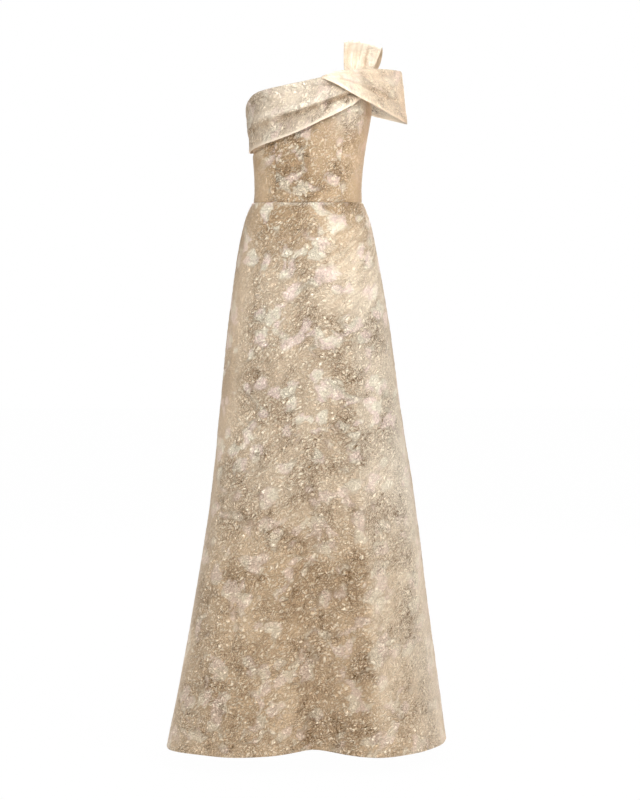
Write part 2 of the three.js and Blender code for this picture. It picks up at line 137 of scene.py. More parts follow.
# %% The drape's and the strap's measurements
DRAPE = table(
    "at lowX lowY lowZ topX topY topZ",
    (0, 27, -114.3, 1452, 29, -113.1, 1461), (0.1, 58, -112.6, 1439, 54, -111.4, 1466),
    (0.21, 96, -103, 1419, 84, -105.6, 1470), (0.33, 135, -84, 1399, 117, -93, 1472),
    (0.44, 171, -57, 1380, 152, -72, 1473), (0.53, 198, -28, 1367, 182, -42, 1473),
    (0.61, 211, 3, 1361, 198, -7, 1472), (0.69, 202, 38, 1364, 192, 28, 1469),
    (0.79, 176, 69, 1372, 167, 60, 1464), (0.87, 140, 91, 1382, 132, 84, 1458),
    (0.94, 92, 103.4, 1397, 88, 98.4, 1450), (1, 40, 105.6, 1410, 42, 104.6, 1432))
STRAP = table(
    "at leftX leftY leftZ rightX rightY rightZ arch",
    (0, 81.8, -95.3, 1450, 118.8, -64, 1428, 3.3), (0.09, 75, -99, 1469, 133, -70, 1464, 2.2),
    (0.22, 74, -88, 1501, 146, -60, 1496, 2), (0.36, 75, -56, 1529, 154, -38, 1515, 6),
    (0.5, 76, -8, 1540, 157, -4, 1524, 7), (0.64, 77, 36, 1531, 159, 30, 1515, 6),
    (0.78, 78, 72, 1502, 153, 56, 1490, 1), (0.91, 78, 91, 1462, 134, 68, 1455, 2),
    (1, 79, 89.2, 1434, 112.7, 66.4, 1416, 1.3))
COLLAR_PLEATS = table("across spread reach", (0.1, 0.13, 3.4), (0.6, 0.16, 5), (0.93, 0.1, 2))
DRAPE_PLEATS = table("across spread reach", (0.14, 0.13, 5), (0.66, 0.11, 8), (0.94, 0.09, 4))
STRAP_GATHERS, STRAP_GATHER_REACH = 5, 2.2
ZIP = {"bottom": 1010, "width": 22, "thickness": 1, "gap": 0.95, "opening": 1.6}
TINY = 0.002
print("the drape follows", len(DRAPE["at"]), "places and the strap", len(STRAP["at"]))

# %% [markdown]
# ## The dress's surface
# Every panel of the bodice, collar and skirt is cut from one closed surface round the wearer. A ring
# at each height is a rounded box, wider than it is deep, pushed out by the bust and by the skirt's
# soft folds. Arrays hold all the points of a panel at once, which keeps the script quick.

# %% Rings
def plan(angle, height):
    """A ring's point seen from above, and its distance from the middle"""
    sine, cosine = np.sin(np.radians(angle)), np.cos(np.radians(angle))
    half = np.where(sine < 0, read(RINGS, height, "left"), read(RINGS, height, "right"))
    depth = np.where(cosine > 0, read(RINGS, height, "front"), read(RINGS, height, "back"))
    square = read(RINGS, height, "square")
    radius = (np.abs(sine / half) ** square + np.abs(cosine / depth) ** square) ** (-1 / square)
    for fold, spread, reach, start in zip(*SKIRT_FOLDS.values()):
        share = np.clip((start - height) / start, 0, 1)
        radius = radius + reach * share ** 1.4 * hump(turn(fold, angle), spread)
    sides = hump(angle - BUST["angle"], BUST["spread"]) + hump(angle + BUST["angle"], BUST["spread"])
    radius = radius + BUST["rise"] * sides * hump(height - BUST["height"], BUST["reach"])
    return radius * sine, -radius * cosine, radius


def on_body(angle, height, out=0):
    """Points of the dress's surface, moved out square to the cloth"""
    x, y, _ = plan(angle, height)
    ahead, behind = plan(angle + 0.5, height), plan(angle - 0.5, height)
    along_x, along_y = ahead[0] - behind[0], ahead[1] - behind[1]
    length = np.hypot(along_x, along_y)
    return np.stack([x + along_y / length * out, y - along_x / length * out,
                     height + np.zeros_like(x)], -1)


def degrees(distance, angle, height):
    return np.degrees(distance / plan(angle, height)[2])


waist_ring = on_body(np.arange(361.0) - 180, float(WAIST))
print("waist round:", round(np.linalg.norm(np.diff(waist_ring, axis=0), axis=1).sum()), "mm")

# %% Panels between seams
def spaced(length, step, fine=(0.35, 0.9, 1.7, 2.9)):
    """Places from 0 to 1 along a length, closer together at both ends for a rounded edge"""
    edge = np.array(fine) / length
    middle = np.linspace(0, 1, max(int(round(length / step)), 4) + 1)
    middle = middle[(middle > edge[-1] * 1.2) & (middle < 1 - edge[-1] * 1.2)]
    return np.concatenate([[0], edge, middle, 1 - edge[::-1], [1]])


def panel(seams, low, high, middle, across, up):
    """Angles and heights of the points between two seams and two edges"""
    left, right, left_gap, right_gap = seams

    def angles(height):
        start, end = left(height), right(height)
        start = start + degrees(left_gap, start, height)
        end = end - degrees(right_gap, end, height)
        return blend(start, end, across)

    height = middle + np.zeros(np.broadcast(across, up).shape)
    for _ in range(12):
        near = angles(height)
        height = (height + blend(low(near), high(near), up)) / 2
    angle = angles(height)
    return angle, blend(low(angle), high(angle), up)


def fixed(value):
    return lambda place: value + np.zeros_like(np.asarray(place, float))


def seam_line(column, side):
    return lambda height: side * read(SEAMS, height, column)


def upper_edge(angle):
    return read(UPPER_EDGE, angle, "height")


def collar_edge(angle):
    return read(COLLAR_EDGE, angle, "height")


def hem_edge(angle):
    return HEM_CLEARANCE + HEM_LIFT * hump(turn(HEM_LIFT_ANGLE, angle), HEM_LIFT_WIDTH)


print("places across a 100 mm panel at 2 mm:", len(spaced(100, 2)))

# %% [markdown]
# ## Crinkles
# The cloth is a cloque brocade: its gold face is blistered all over. A smooth random field gives such
# hills without a picture. It is seeded, so each run gives the same cloth. Stretched along one
# direction the same field gives drag lines, and folded at its middle it gives sharp ridges.

# %% Random hills, ridges and drag lines
def hills(u, v, seed):
    """Smooth random hills about 1 unit apart, from -1 to 1"""
    column, row = np.floor(u).astype(np.int64), np.floor(v).astype(np.int64)
    x, y = u - column, v - row

    def slope(right, up):
        key = ((column + right) * 374761393 + (row + up) * 668265263 + seed * 974634777) & 0xFFFFFFFF
        key = ((key ^ (key >> 13)) * 1274126177) & 0xFFFFFFFF
        way = ((key ^ (key >> 16)) & 0xFFFF) / 65536 * 2 * np.pi
        return np.cos(way) * (x - right) + np.sin(way) * (y - up)

    soft_x, soft_y = x ** 3 * (x * (x * 6 - 15) + 10), y ** 3 * (y * (y * 6 - 15) + 10)
    low = blend(slope(0, 0), slope(1, 0), soft_x)
    high = blend(slope(0, 1), slope(1, 1), soft_x)
    return blend(low, high, soft_y) * 1.5


def ridges(u, v, seed):
    return 1 - 2 * np.abs(hills(u, v, seed))


def drag_lines(u, v, degrees_up, long, wide, seed):
    """Ridges that run one way over the cloth"""
    way = np.radians(degrees_up)
    along, beside = u * np.cos(way) + v * np.sin(way), v * np.cos(way) - u * np.sin(way)
    return ridges(along / long, beside / wide + hills(along / long, beside / long, seed + 7), seed)


BLISTER, SMALL_BLISTER = 17, 8.7


def crinkle(u, v, seed):
    """The brocade's blisters, in millimetres"""
    warp = 6 * hills(u / 31, v / 31, seed + 1)
    large = ridges((u + warp) / BLISTER, (v - warp) / BLISTER, seed + 2)
    return 0.5 * large + 0.3 * ridges(u / SMALL_BLISTER, v / SMALL_BLISTER, seed + 3)


def crease(x, z, points, width, depth):
    """A fold line through points, in mm right and above the floor; a negative depth is a valley"""
    best, height = np.full(x.shape, 1e9), np.zeros(x.shape)
    points = np.array(points, float)
    for index, (start, end) in enumerate(zip(points[:-1], points[1:])):
        way = end - start
        t = ((x - start[0]) * way[0] + (z - start[1]) * way[1]) / (way @ way)
        near = np.clip(t, 0, 1)
        distance = np.hypot(x - start[0] - near * way[0], z - start[1] - near * way[1])
        place = (index + near) / (len(points) - 1)
        share = ease(place, 0, 0.18) * ease(1 - place, 0, 0.18)
        height = np.where(distance < best, hump(distance, width) * share, height)
        best = np.minimum(best, distance)
    return depth * height


print("crinkle is", np.round(crinkle(np.arange(3.0) * 5, np.zeros(3), 1), 2), "mm at three places")

# %% [markdown]
# ## From a surface to a cloth
# A cloth piece is a closed wall. Its face takes all the relief, its back follows it more gently,
# and both meet in a rounded fold at the edges. A displaced plane could do the same, but it would
# leave the cloth open at the back. Each point also keeps what the material needs: its place on the
# flat cloth, how calm and how streaked it is there, how much painted light it carries, how full of
# petals it is, and whether it is the cloth's reverse.

# %% Cloth walls
def measured(surface):
    """Distances on the flat cloth, across from the middle and up from the low edge"""
    step = np.linalg.norm(np.diff(surface, axis=1), axis=2)
    across = np.concatenate([np.zeros((len(surface), 1)), np.cumsum(step, axis=1)], axis=1)
    rise = np.linalg.norm(np.diff(surface, axis=0), axis=2)
    up = np.concatenate([np.zeros((1, surface.shape[1])), np.cumsum(rise, axis=0)], axis=0)
    return across - across[:, across.shape[1] // 2][:, None], up


def cut_size(surface):
    """The width, length and area of the flat cloth in metres"""
    across, up = measured(surface)
    width, length = np.ptp(across, axis=1).max(), up[-1].max()
    right, rise = np.diff(surface, axis=1)[:-1], np.diff(surface, axis=0)[:, :-1]
    area = np.linalg.norm(np.cross(right, rise), axis=2).sum()
    return width / 1000, length / 1000, area / 1e6


def outward_of(surface):
    outward = np.cross(np.gradient(surface, axis=1), np.gradient(surface, axis=0))
    return outward / np.linalg.norm(outward, axis=2)[..., None]


def edge_distance(across, up):
    """Distance from each of the four edges: left, right, low and top"""
    return (across - across[:, :1], across[:, -1:] - across, up, up[-1:] - up)


def rolled(edges, reach=0.72):
    """How far the face dips where the cloth is folded in at its edges"""
    return -reach * np.maximum.reduce([hump(edge, 1.0) for edge in edges])


def seam_pull(edges, u, v, seed):
    """The soft groove and the small puckers beside sewn edges"""
    total = np.zeros_like(u)
    for index, edge in enumerate(edges):
        along = v if index < 2 else u
        total += -0.5 * hump(edge, 5)
        total += 0.55 * hump(edge, 10) * hills(along / 11, edge / 40, seed + index)
    return total


print("cloth helpers ready")

# %% Meshes from cloth walls
def strap_point(across, along, gather=STRAP_GATHER_REACH):
    def edge(word, place):
        return np.stack([read(STRAP, place, word + axis) for axis in "XYZ"], -1)

    def between(place):
        return edge("left", place) * (1 - across[..., None]) + edge("right", place) * across[..., None]

    side = edge("right", along) - edge("left", along)
    run = between(np.minimum(along + TINY, 1)) - between(np.maximum(along - TINY, 0))
    outward = np.cross(side, run)
    outward /= np.linalg.norm(outward, axis=-1)[..., None]
    wave = np.cos(2 * np.pi * STRAP_GATHERS * across)
    fullness = blend(0.5, 1, np.sin(np.pi * along))
    arch = read(STRAP, along, "arch") * 4 * across * (1 - across)
    return between(along) + outward * (arch + gather * wave * fullness)[..., None]


HOLD = strap_point(np.array(0.5), np.array(0.5)) - (0, 0, CLOTH)


def to_frame(points):
    return (points - HOLD) / 1000


def wall_mesh(name, outer, inner, marks, double=False):
    """A closed wall between two grids of points; marks are the values kept at each point, as one
    grid or as one for the face and one for the back. A double cloth shows its face on both sides"""
    rows, columns = outer.shape[:2]
    layer = rows * columns
    ids = np.arange(layer).reshape(rows, columns)

    def quads(a, b, c, d):
        return np.stack([part.ravel() for part in (a, b, c, d)], 1)

    back = ids + layer
    faces = np.concatenate([
        quads(ids[:-1, :-1], ids[:-1, 1:], ids[1:, 1:], ids[1:, :-1]),
        quads(back[:-1, :-1], back[1:, :-1], back[1:, 1:], back[:-1, 1:]),
        quads(ids[0, :-1], back[0, :-1], back[0, 1:], ids[0, 1:]),
        quads(ids[-1, :-1], ids[-1, 1:], back[-1, 1:], back[-1, :-1]),
        quads(ids[:-1, 0], ids[1:, 0], back[1:, 0], back[:-1, 0]),
        quads(ids[:-1, -1], back[:-1, -1], back[1:, -1], ids[1:, -1])])
    corners = to_frame(np.concatenate([outer.reshape(-1, 3), inner.reshape(-1, 3)]))
    mesh = bpy.data.meshes.new(name)
    mesh.from_pydata(corners.tolist(), [], faces.tolist())
    mesh.shade_smooth()
    corner_ids = np.empty(len(mesh.loops), np.int32)
    mesh.loops.foreach_get("vertex_index", corner_ids)
    flat = np.tile(marks.pop("flat").reshape(-1, 2), (2, 1)) / 1000
    mesh.uv_layers.new(name="cloth").data.foreach_set("uv", flat[corner_ids].ravel())
    marks["reverse"] = None
    for label, values in marks.items():
        if values is None:
            values = (np.zeros(layer), np.full(layer, 0.0 if double else 1.0))
        elif not isinstance(values, tuple):
            values = (values, values)
        values = np.concatenate([part.ravel() for part in values])
        mesh.attributes.new(label, "FLOAT", "POINT").data.foreach_set("value", values)
    return stand(name, mesh)


print("the shoulder point is at", np.round(HOLD, 1), "mm")

# %% Sewing a surface into a piece
CUTS = {}
# The back follows this share of the face's relief, and comes at most this many mm nearer to the face
FOLLOW, THINNEST = 0.75, 0.5
# Each piece has a seat of its own in the brocade, so that no two are cut from the same place
SEAT_ACROSS, SEAT_UP = 137.0, 95.9


def sew(node, surface, thickness, relief, calm, inside=0.0, material=None, double=False,
        painted_light=0.0, streak=0.0, bloom=0.6):
    """Turns a surface into the finished cloth of one CAD node"""
    u, v = measured(surface)
    edges = edge_distance(u, v)
    outward = outward_of(surface)
    face = relief + rolled(edges)
    depth = thickness + inside - 0.6 * thickness * np.maximum.reduce([hump(e, 0.8) for e in edges])
    outer = surface + outward * face[..., None]
    back = np.minimum(FOLLOW * relief, relief + THINNEST) + rolled(edges, 0.2)
    inner = surface + outward * (back - depth)[..., None]
    flat = np.stack([u + len(CUTS) * SEAT_ACROSS, v + len(CUTS) * SEAT_UP], -1)
    painted_light_sides = tuple(side + 0 * u for side in (painted_light if isinstance(painted_light, tuple) else (painted_light, painted_light)))
    piece = wall_mesh("cloth_" + node, outer, inner,
                      {"flat": flat, "calm": calm, "painted_light": painted_light_sides, "streak": streak + 0 * u,
                       "bloom": bloom + 0 * u}, double)
    piece.data.materials.append(material or BROCADE)
    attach(piece, "dress")
    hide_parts(node)
    width, length, area = CUTS[node] = cut_size(surface)
    triangles = sum(len(face.vertices) - 2 for face in piece.data.polygons)
    print(f"{piece.name}: cut {width:.3f} x {length:.3f} m, {area:.4f} m2, {triangles} triangles")
    return piece


# %% [markdown]
# ## Finishes
# Node helpers first: one adds a node and links or sets its inputs, the others name common steps.
# They keep each material short enough to read as a recipe. The nodes could be placed by hand in the
# shader editor instead, but a recipe in text is easier to change and to compare.

# %% Node helpers
def wire(tree, node, inputs):
    """Links each input that is given a socket, and sets each that is given a plain value"""
    for key, value in dict(inputs).items():
        if isinstance(value, bpy.types.NodeSocket):
            tree.links.new(value, node.inputs[key])
        else:
            node.inputs[key].default_value = value


def add(tree, kind, inputs=(), out=0, **settings):
    made = tree.nodes.new(kind)
    for setting, value in settings.items():
        setattr(made, setting, value)
    wire(tree, made, inputs)
    return made.outputs[out]


def joined_by(operation):
    """A helper that joins two or more values with one kind of sum"""
    def join(tree, first, *others):
        for other in others:
            first = add(tree, "ShaderNodeMath", {0: first, 1: other}, operation=operation)
        return first
    return join


times, plus, minus, larger = map(joined_by, ("MULTIPLY", "ADD", "SUBTRACT", "MAXIMUM"))


def window(tree, value, low, high, start=0.0, end=1.0):
    """A soft step from start to end while the value goes from low to high"""
    return add(tree, "ShaderNodeMapRange", {0: value, 1: low, 2: high, 3: start, 4: end},
               interpolation_type="SMOOTHSTEP")


def colours(tree, factor, first, second):
    return add(tree, "ShaderNodeMix", {0: factor, 6: first, 7: second}, out=2, data_type="RGBA")


def grain(tree, place, scale, detail=2.0, roughness=0.5, out=0):
    return add(tree, "ShaderNodeTexNoise", {"Vector": place, "Scale": scale, "Detail": detail,
                                            "Roughness": roughness}, out=out, noise_dimensions="2D")


def from_middle(tree, grey):
    """How far a grain is from its middle value, which it crosses along thin winding lines"""
    return add(tree, "ShaderNodeMath", {0: minus(tree, grey, 0.5)}, operation="ABSOLUTE")


def cells(tree, place, scale, feature="F1"):
    return add(tree, "ShaderNodeTexVoronoi", {"Vector": place, "Scale": scale},
               voronoi_dimensions="2D", feature=feature)


def warped(tree, place, scale, reach):
    """The place pushed about by a random field, so that no cell border is straight"""
    push = add(tree, "ShaderNodeVectorMath", {0: grain(tree, place, scale, out=1), 1: (0.5, 0.5, 0.5)},
               operation="SUBTRACT")
    push = add(tree, "ShaderNodeVectorMath", {0: push, "Scale": reach}, operation="SCALE")
    return add(tree, "ShaderNodeVectorMath", {0: place, 1: push}, operation="ADD")


def mark(tree, name):
    return add(tree, "ShaderNodeAttribute", attribute_name=name, out=2)


def linear(red, green, blue):
    """A colour as it is seen on a screen, from 0 to 255, as the linear light that Blender wants"""
    seen = np.array([red, green, blue]) / 255
    light = np.where(seen <= 0.04045, seen / 12.92, ((seen + 0.055) / 1.055) ** 2.4)
    return (*(float(part) for part in light), 1.0)


def material(name):
    made = bpy.data.materials.new(name)
    made.use_nodes = True
    shader = made.node_tree.nodes["Principled BSDF"]
    return made, made.node_tree, shader


def bump(tree, height, distance, strength):
    return add(tree, "ShaderNodeBump", {"Height": height, "Distance": distance, "Strength": strength})


print("white is", linear(255, 255, 255))

# %% [markdown]
# ## The brocade
# The real cloth is a metallic jacquard: a tan and gold ground, broken by dark hairline cracks and
# cream flakes, with ragged silvery-pink petals woven in here and there. A photograph of cloth could be
# laid on, but it would repeat and carry its own light. Here random cells give the cracks and petals,
# the winding lines of random hills give the hollows and hairlines and their tops the flakes, and the
# same fields feed the bump. So the dark cracks and hollows are partly painted shade, and the flakes
# partly painted highlights, where the bump dips and rises. Each piece also marks where light is
# painted on it, as a paler ground.

# %% Brocade colours and sizes
# The crack colour is that of real cracks, hairlines and petal rims, and also painted shade in the
# blisters' hollows and the drag lines. The flake colour is that of cream flakes, and also painted
# highlights on the blisters' tops and the drag lines. The pale ground colour is painted light.
GROUND, GROUND_DEEP, GROUND_PAINTED_LIGHT = linear(214, 185, 150), linear(195, 165, 129), linear(250, 239, 221)
CRACK_AND_SHADE, FLAKE_AND_HIGHLIGHT = linear(106, 78, 44), linear(255, 243, 220)
PETAL_ROSE, PETAL_CREAM = linear(252, 229, 219), linear(248, 240, 219)
REVERSE = linear(196, 178, 152)
# How many hills or cells each field has to a metre of cloth
GROUND_TONES, LIVELY_AREAS, PETAL_AREAS, PETAL_TINTS, HAIRLINE_AREAS = 9.0, 13.0, 17.0, 24.0, 27.0
PETALS, PETAL_EDGES, HAIRLINES, CRACKS, BLISTERS = 37.0, 110.0, 52.0, 185.0, 118.0
SWIRLS, STRAINS, STREAKS, FLECKS = 55.0, 20.0, 120.0, 330.0
# How far a field pushes the place about, in metres
SWIRL_REACH, STRAIN_REACH, PETAL_RAG = 0.012, 0.02, 0.011
# The ways that the grain and the streaks run, in radians, and how many times longer than wide they are
GRAIN_WAY, GRAIN_STRETCH, STREAK_WAY, STREAK_STRETCH = 0.7, 1.6, 0.78, 8.0
BUMP_HEIGHT, BUMP_STRENGTH = 0.003, 0.9
print("cracks run", round(np.degrees(GRAIN_WAY)), "degrees up to the right")

# %% Brocade places
def drawn_out(tree, place, way, stretch):
    return add(tree, "ShaderNodeMapping", {"Vector": place, "Rotation": (0.0, 0.0, way),
                                           "Scale": (stretch, 1.0, 1.0)}, vector_type="TEXTURE")


BROCADE, tree, shader = material("brocade")
cloth = add(tree, "ShaderNodeUVMap", uv_map="cloth")
calm, reverse, painted_light = mark(tree, "calm"), mark(tree, "reverse"), mark(tree, "painted_light")
streaky, bloom = mark(tree, "streak"), mark(tree, "bloom")
lively = minus(tree, 1.0, calm)
slanted = drawn_out(tree, warped(tree, cloth, SWIRLS, SWIRL_REACH), GRAIN_WAY, GRAIN_STRETCH)
strained = drawn_out(tree, warped(tree, cloth, STRAINS, STRAIN_REACH), STREAK_WAY, STREAK_STRETCH)
wild = window(tree, grain(tree, cloth, LIVELY_AREAS), 0.36, 0.6, 0.45, 1.0)
wild = times(tree, wild, lively)
print("places:", len(tree.nodes), "nodes so far")

# %% Brocade relief
crack_edge = cells(tree, slanted, CRACKS, feature="DISTANCE_TO_EDGE")
cracks = window(tree, crack_edge, 0.02, 0.16, 1.0, 0.0)
blister = from_middle(tree, grain(tree, slanted, BLISTERS, detail=3.0, roughness=0.7))
hollows = window(tree, blister, 0.01, 0.05, 1.0, 0.0)
crests = window(tree, blister, 0.075, 0.15)
long_hills = from_middle(tree, grain(tree, slanted, HAIRLINES, detail=4.0, roughness=0.62))
hairlines = window(tree, long_hills, 0.008, 0.03, 1.0, 0.0)
hairlines = times(tree, hairlines, window(tree, grain(tree, cloth, HAIRLINE_AREAS), 0.44, 0.56))
fine = grain(tree, slanted, FLECKS, roughness=0.6)
streaks = grain(tree, strained, STREAKS)
petal_cells = cells(tree, warped(tree, slanted, PETAL_EDGES, PETAL_RAG), PETALS)
petals = times(tree, window(tree, grain(tree, cloth, PETAL_AREAS, detail=1.0), 0.48, 0.58),
               window(tree, petal_cells, 0.58, 0.42))
print("relief fields:", len(tree.nodes), "nodes so far")

# %% Shares of each colour
rims = times(tree, petals, minus(tree, 1.0, petals), 2.0)
# Real cracks, hairlines and petal rims, and painted shade in the cracks and hollows of the blisters,
# where the bump dips
crack_and_shade = larger(tree, times(tree, cracks, 0.55), times(tree, hollows, 0.75), rims, hairlines)
crack_and_shade_share = times(tree, crack_and_shade, wild, window(tree, petals, 0.0, 1.0, 1.0, 0.8))
# Painted shade and painted highlights along the drag lines, where the bump streaks as well
painted_streak_shade = times(tree, window(tree, streaks, 0.45, 0.38), streaky, 0.22)
painted_streak_highlights = times(tree, window(tree, streaks, 0.53, 0.6), streaky, 0.4)
# Cream flakes on the blisters' tops, partly painted highlights where the bump rises
flake_and_highlight_share = times(tree, crests, window(tree, bloom, 0.35, 0.75, 0.5, 0.72), lively)
petal_share = times(tree, petals, bloom, window(tree, lively, 0.0, 0.7, 0.4, 1.0))
print("shares:", len(tree.nodes), "nodes so far")

# %% Brocade colour
ground_tone = window(tree, grain(tree, cloth, GROUND_TONES), 0.35, 0.65)
dyed = colours(tree, ground_tone, GROUND, GROUND_DEEP)
# Painted light: the ground goes paler where a piece marks painted light
dyed = colours(tree, painted_light, dyed, GROUND_PAINTED_LIGHT)
petal_dye = window(tree, grain(tree, cloth, PETAL_TINTS), 0.42, 0.58)
petal_dye = colours(tree, petal_dye, PETAL_ROSE, PETAL_CREAM)
dyed = colours(tree, petal_share, dyed, petal_dye)
dyed = colours(tree, flake_and_highlight_share, dyed, FLAKE_AND_HIGHLIGHT)
dyed = colours(tree, painted_streak_highlights, dyed, FLAKE_AND_HIGHLIGHT)
dyed = colours(tree, larger(tree, crack_and_shade_share, painted_streak_shade), dyed, CRACK_AND_SHADE)
dyed = colours(tree, reverse, dyed, colours(tree, fine, REVERSE, GROUND))
print("colour:", len(tree.nodes), "nodes so far")

# %% Brocade gloss and bump
face_share = minus(tree, 1.0, times(tree, reverse, 0.9))
metal = times(tree, face_share, window(tree, petal_share, 0.0, 1.0, 0.55, 0.3))
rough = plus(tree, window(tree, fine, 0.3, 0.7, 0.46, 0.3), times(tree, streaky, 0.12))
swell = plus(tree, window(tree, blister, 0.0, 0.2), window(tree, crack_edge, 0.0, 0.25, 0.0, 0.5),
             times(tree, fine, 0.45))
swell = times(tree, swell, plus(tree, times(tree, lively, 0.9), 0.1))
swell = plus(tree, swell, times(tree, streaks, streaky, 0.7))
wire(tree, shader, {"Base Color": dyed, "Metallic": metal, "Roughness": rough,
                    "Normal": bump(tree, swell, BUMP_HEIGHT, BUMP_STRENGTH)})
print("brocade:", len(tree.nodes), "nodes")

# %% [markdown]
# ## Tape, metal and thread
# The zip's tape is a plain narrow weave, the pull is polished gold metal with light wear, and the
# thread is a matt tan. Small parts get as much care as the cloth, because close views show them.

# %% Zip tape
TAPE_DEEP, TAPE_PALE = linear(158, 132, 98), linear(196, 170, 132)
WARP_THREADS, WEFT_THREADS = 220.0, 200.0
TAPE, tree, shader = material("zip_tape")
cloth = add(tree, "ShaderNodeUVMap", uv_map="cloth")


def threads(tree, count, way):
    wave = add(tree, "ShaderNodeTexWave", {"Vector": cloth, "Scale": count, "Distortion": 0.4},
               wave_type="BANDS", bands_direction=way)
    return add(tree, "ShaderNodeSeparateColor", {0: wave})


weave = times(tree, threads(tree, WARP_THREADS, "X"), threads(tree, WEFT_THREADS, "Y"))
wire(tree, shader, {"Base Color": colours(tree, weave, TAPE_DEEP, TAPE_PALE), "Roughness": 0.8,
                    "Normal": bump(tree, weave, 0.0003, 0.6)})
print("zip tape:", len(tree.nodes), "nodes")

# %% Gold metal
GOLD_DEEP, GOLD_PALE = linear(214, 178, 112), linear(232, 205, 150)
GOLD, tree, shader = material("zip_metal")
place = add(tree, "ShaderNodeTexCoord", out=3)
smear = add(tree, "ShaderNodeTexNoise", {"Vector": place, "Scale": 900.0, "Detail": 3.0})
wire(tree, shader, {"Base Color": colours(tree, window(tree, smear, 0.4, 0.7), GOLD_DEEP, GOLD_PALE),
                    "Roughness": window(tree, smear, 0.3, 0.7, 0.22, 0.38), "Metallic": 1.0,
                    "Normal": bump(tree, smear, 0.00005, 0.3)})
print("gold metal:", len(tree.nodes), "nodes")

# %% Thread
THREAD_DEEP, THREAD_PALE = linear(168, 142, 106), linear(206, 182, 146)
THREAD, tree, shader = material("thread")
place = add(tree, "ShaderNodeTexCoord", out=3)
twist = add(tree, "ShaderNodeTexWave", {"Vector": place, "Scale": 900.0, "Distortion": 2.0},
            bands_direction="DIAGONAL")
twist = add(tree, "ShaderNodeSeparateColor", {0: twist})
wire(tree, shader, {"Base Color": colours(tree, twist, THREAD_DEEP, THREAD_PALE), "Roughness": 0.7,
                    "Normal": bump(tree, twist, 0.0001, 0.5)})
print("materials:", [made.name for made in (BROCADE, TAPE, GOLD, THREAD)])

# %% [markdown]
# ## The bodice
# Seven panels are shaped by the seams between them, which run over the bust and the shoulder blades.
# Each panel could be one smooth patch, but sewn cloth pulls in a little beside every seam and strains
# over the bust, so those lines are put in one by one. The side panels are calmer than the middle.

# %% Bodice creases
# Each crease is a line of points, in mm to the right and above the floor, then its width and depth
BODICE_CREASES = {
    "bodice_centre_front": [
        ([(-62, 1212), (-30, 1236), (8, 1246)], 7, -1.2),
        ([(-20, 1206), (12, 1222), (52, 1228)], 6, 1.0),
        ([(34, 1262), (58, 1290), (72, 1330)], 8, 1.1),
        ([(-72, 1262), (-46, 1282), (-18, 1290)], 7, 0.9),
        ([(-6, 1296), (22, 1318), (46, 1352)], 9, -1.0)],
    "bodice_side_front_left": [([(-112, 1236), (-98, 1252), (-82, 1262)], 7, -1.1),
                               ([(-118, 1290), (-104, 1312), (-92, 1340)], 9, 0.9)],
    "bodice_side_front_right": [([(86, 1232), (102, 1250), (112, 1276)], 7, -1.1),
                                ([(94, 1300), (112, 1330), (124, 1366)], 9, 1.0)],
    "bodice_side_back_left": [([(-112, 1228), (-96, 1246), (-76, 1258)], 8, -1.0)],
    "bodice_side_back_right": [([(80, 1250), (98, 1262), (114, 1284)], 8, 1.0)],
    "bodice_back_left": [([(-56, 1216), (-34, 1232), (-8, 1238)], 7, -1.2),
                         ([(-64, 1268), (-36, 1290), (-10, 1300)], 9, 1.0)],
    "bodice_back_right": [([(6, 1222), (34, 1242), (62, 1250)], 7, 1.1),
                          ([(12, 1280), (40, 1300), (58, 1332)], 9, -1.0)],
}


HALF_GAP, HALF_ZIP = SEAM_GAP / 2, ZIP["opening"] / 2
BODICE_STEP, BODICE_LENGTH, BODICE_MIDDLE, CHEST = 2.1, 230, 1300.0, 1330.0


def bodice_panel(node, left, right, seed, calmness, left_gap=HALF_GAP, right_gap=HALF_GAP):
    chest = on_body(np.linspace(left(BODICE_MIDDLE), right(BODICE_MIDDLE), 30), CHEST)
    width = np.linalg.norm(np.diff(chest, axis=0), axis=1).sum()
    across, up = spaced(width, BODICE_STEP)[None, :], spaced(BODICE_LENGTH, BODICE_STEP)[:, None]
    angle, height = panel((left, right, left_gap, right_gap), fixed(WAIST + HALF_GAP), upper_edge,
                          BODICE_MIDDLE, across, up)
    surface = on_body(angle, height)
    u, v = measured(surface)
    calm = np.clip(calmness(angle) + 0.25 * hills(u / 60, v / 60, seed), 0, 1)
    relief = crinkle(u, v, seed) * (1 - 0.85 * calm) * 0.8 - 0.2
    for points, wide, depth in BODICE_CREASES[node]:
        relief += crease(surface[..., 0], height, points, wide, depth)
    edges = edge_distance(u, v)
    relief += seam_pull(edges[:3], u, v, seed)
    # Under the collar the panel lies flat and a little deeper, with a groove below the collar's edge
    above_collar_edge = height - collar_edge(angle)
    relief = blend(relief, -1.2, ease(above_collar_edge, 4, 14))
    relief -= 3.0 * hump(above_collar_edge + 2, 4.5)
    # A painted highlight on the right bust, just under the collar
    bust_light = 0.6 * hump(angle - 42, 15) * ease(height, 1320, 1365)
    return sew(node, surface, CLOTH, relief, calm, painted_light=bust_light,
               bloom=0.7 * (1 - 0.8 * calm))


print("creases on", len(BODICE_CREASES), "bodice panels")

# %% Bodice panels
def lively_middle(angle):
    return 0.0 * angle


def calm_left(angle):
    return 0.8 * ease(-angle, 38, 62)


def calm_right(angle):
    return 0.72 * ease(angle, 46, 70)


def calm_behind(angle):
    return 0.65 * ease(150 - np.abs(angle), 0, 50)


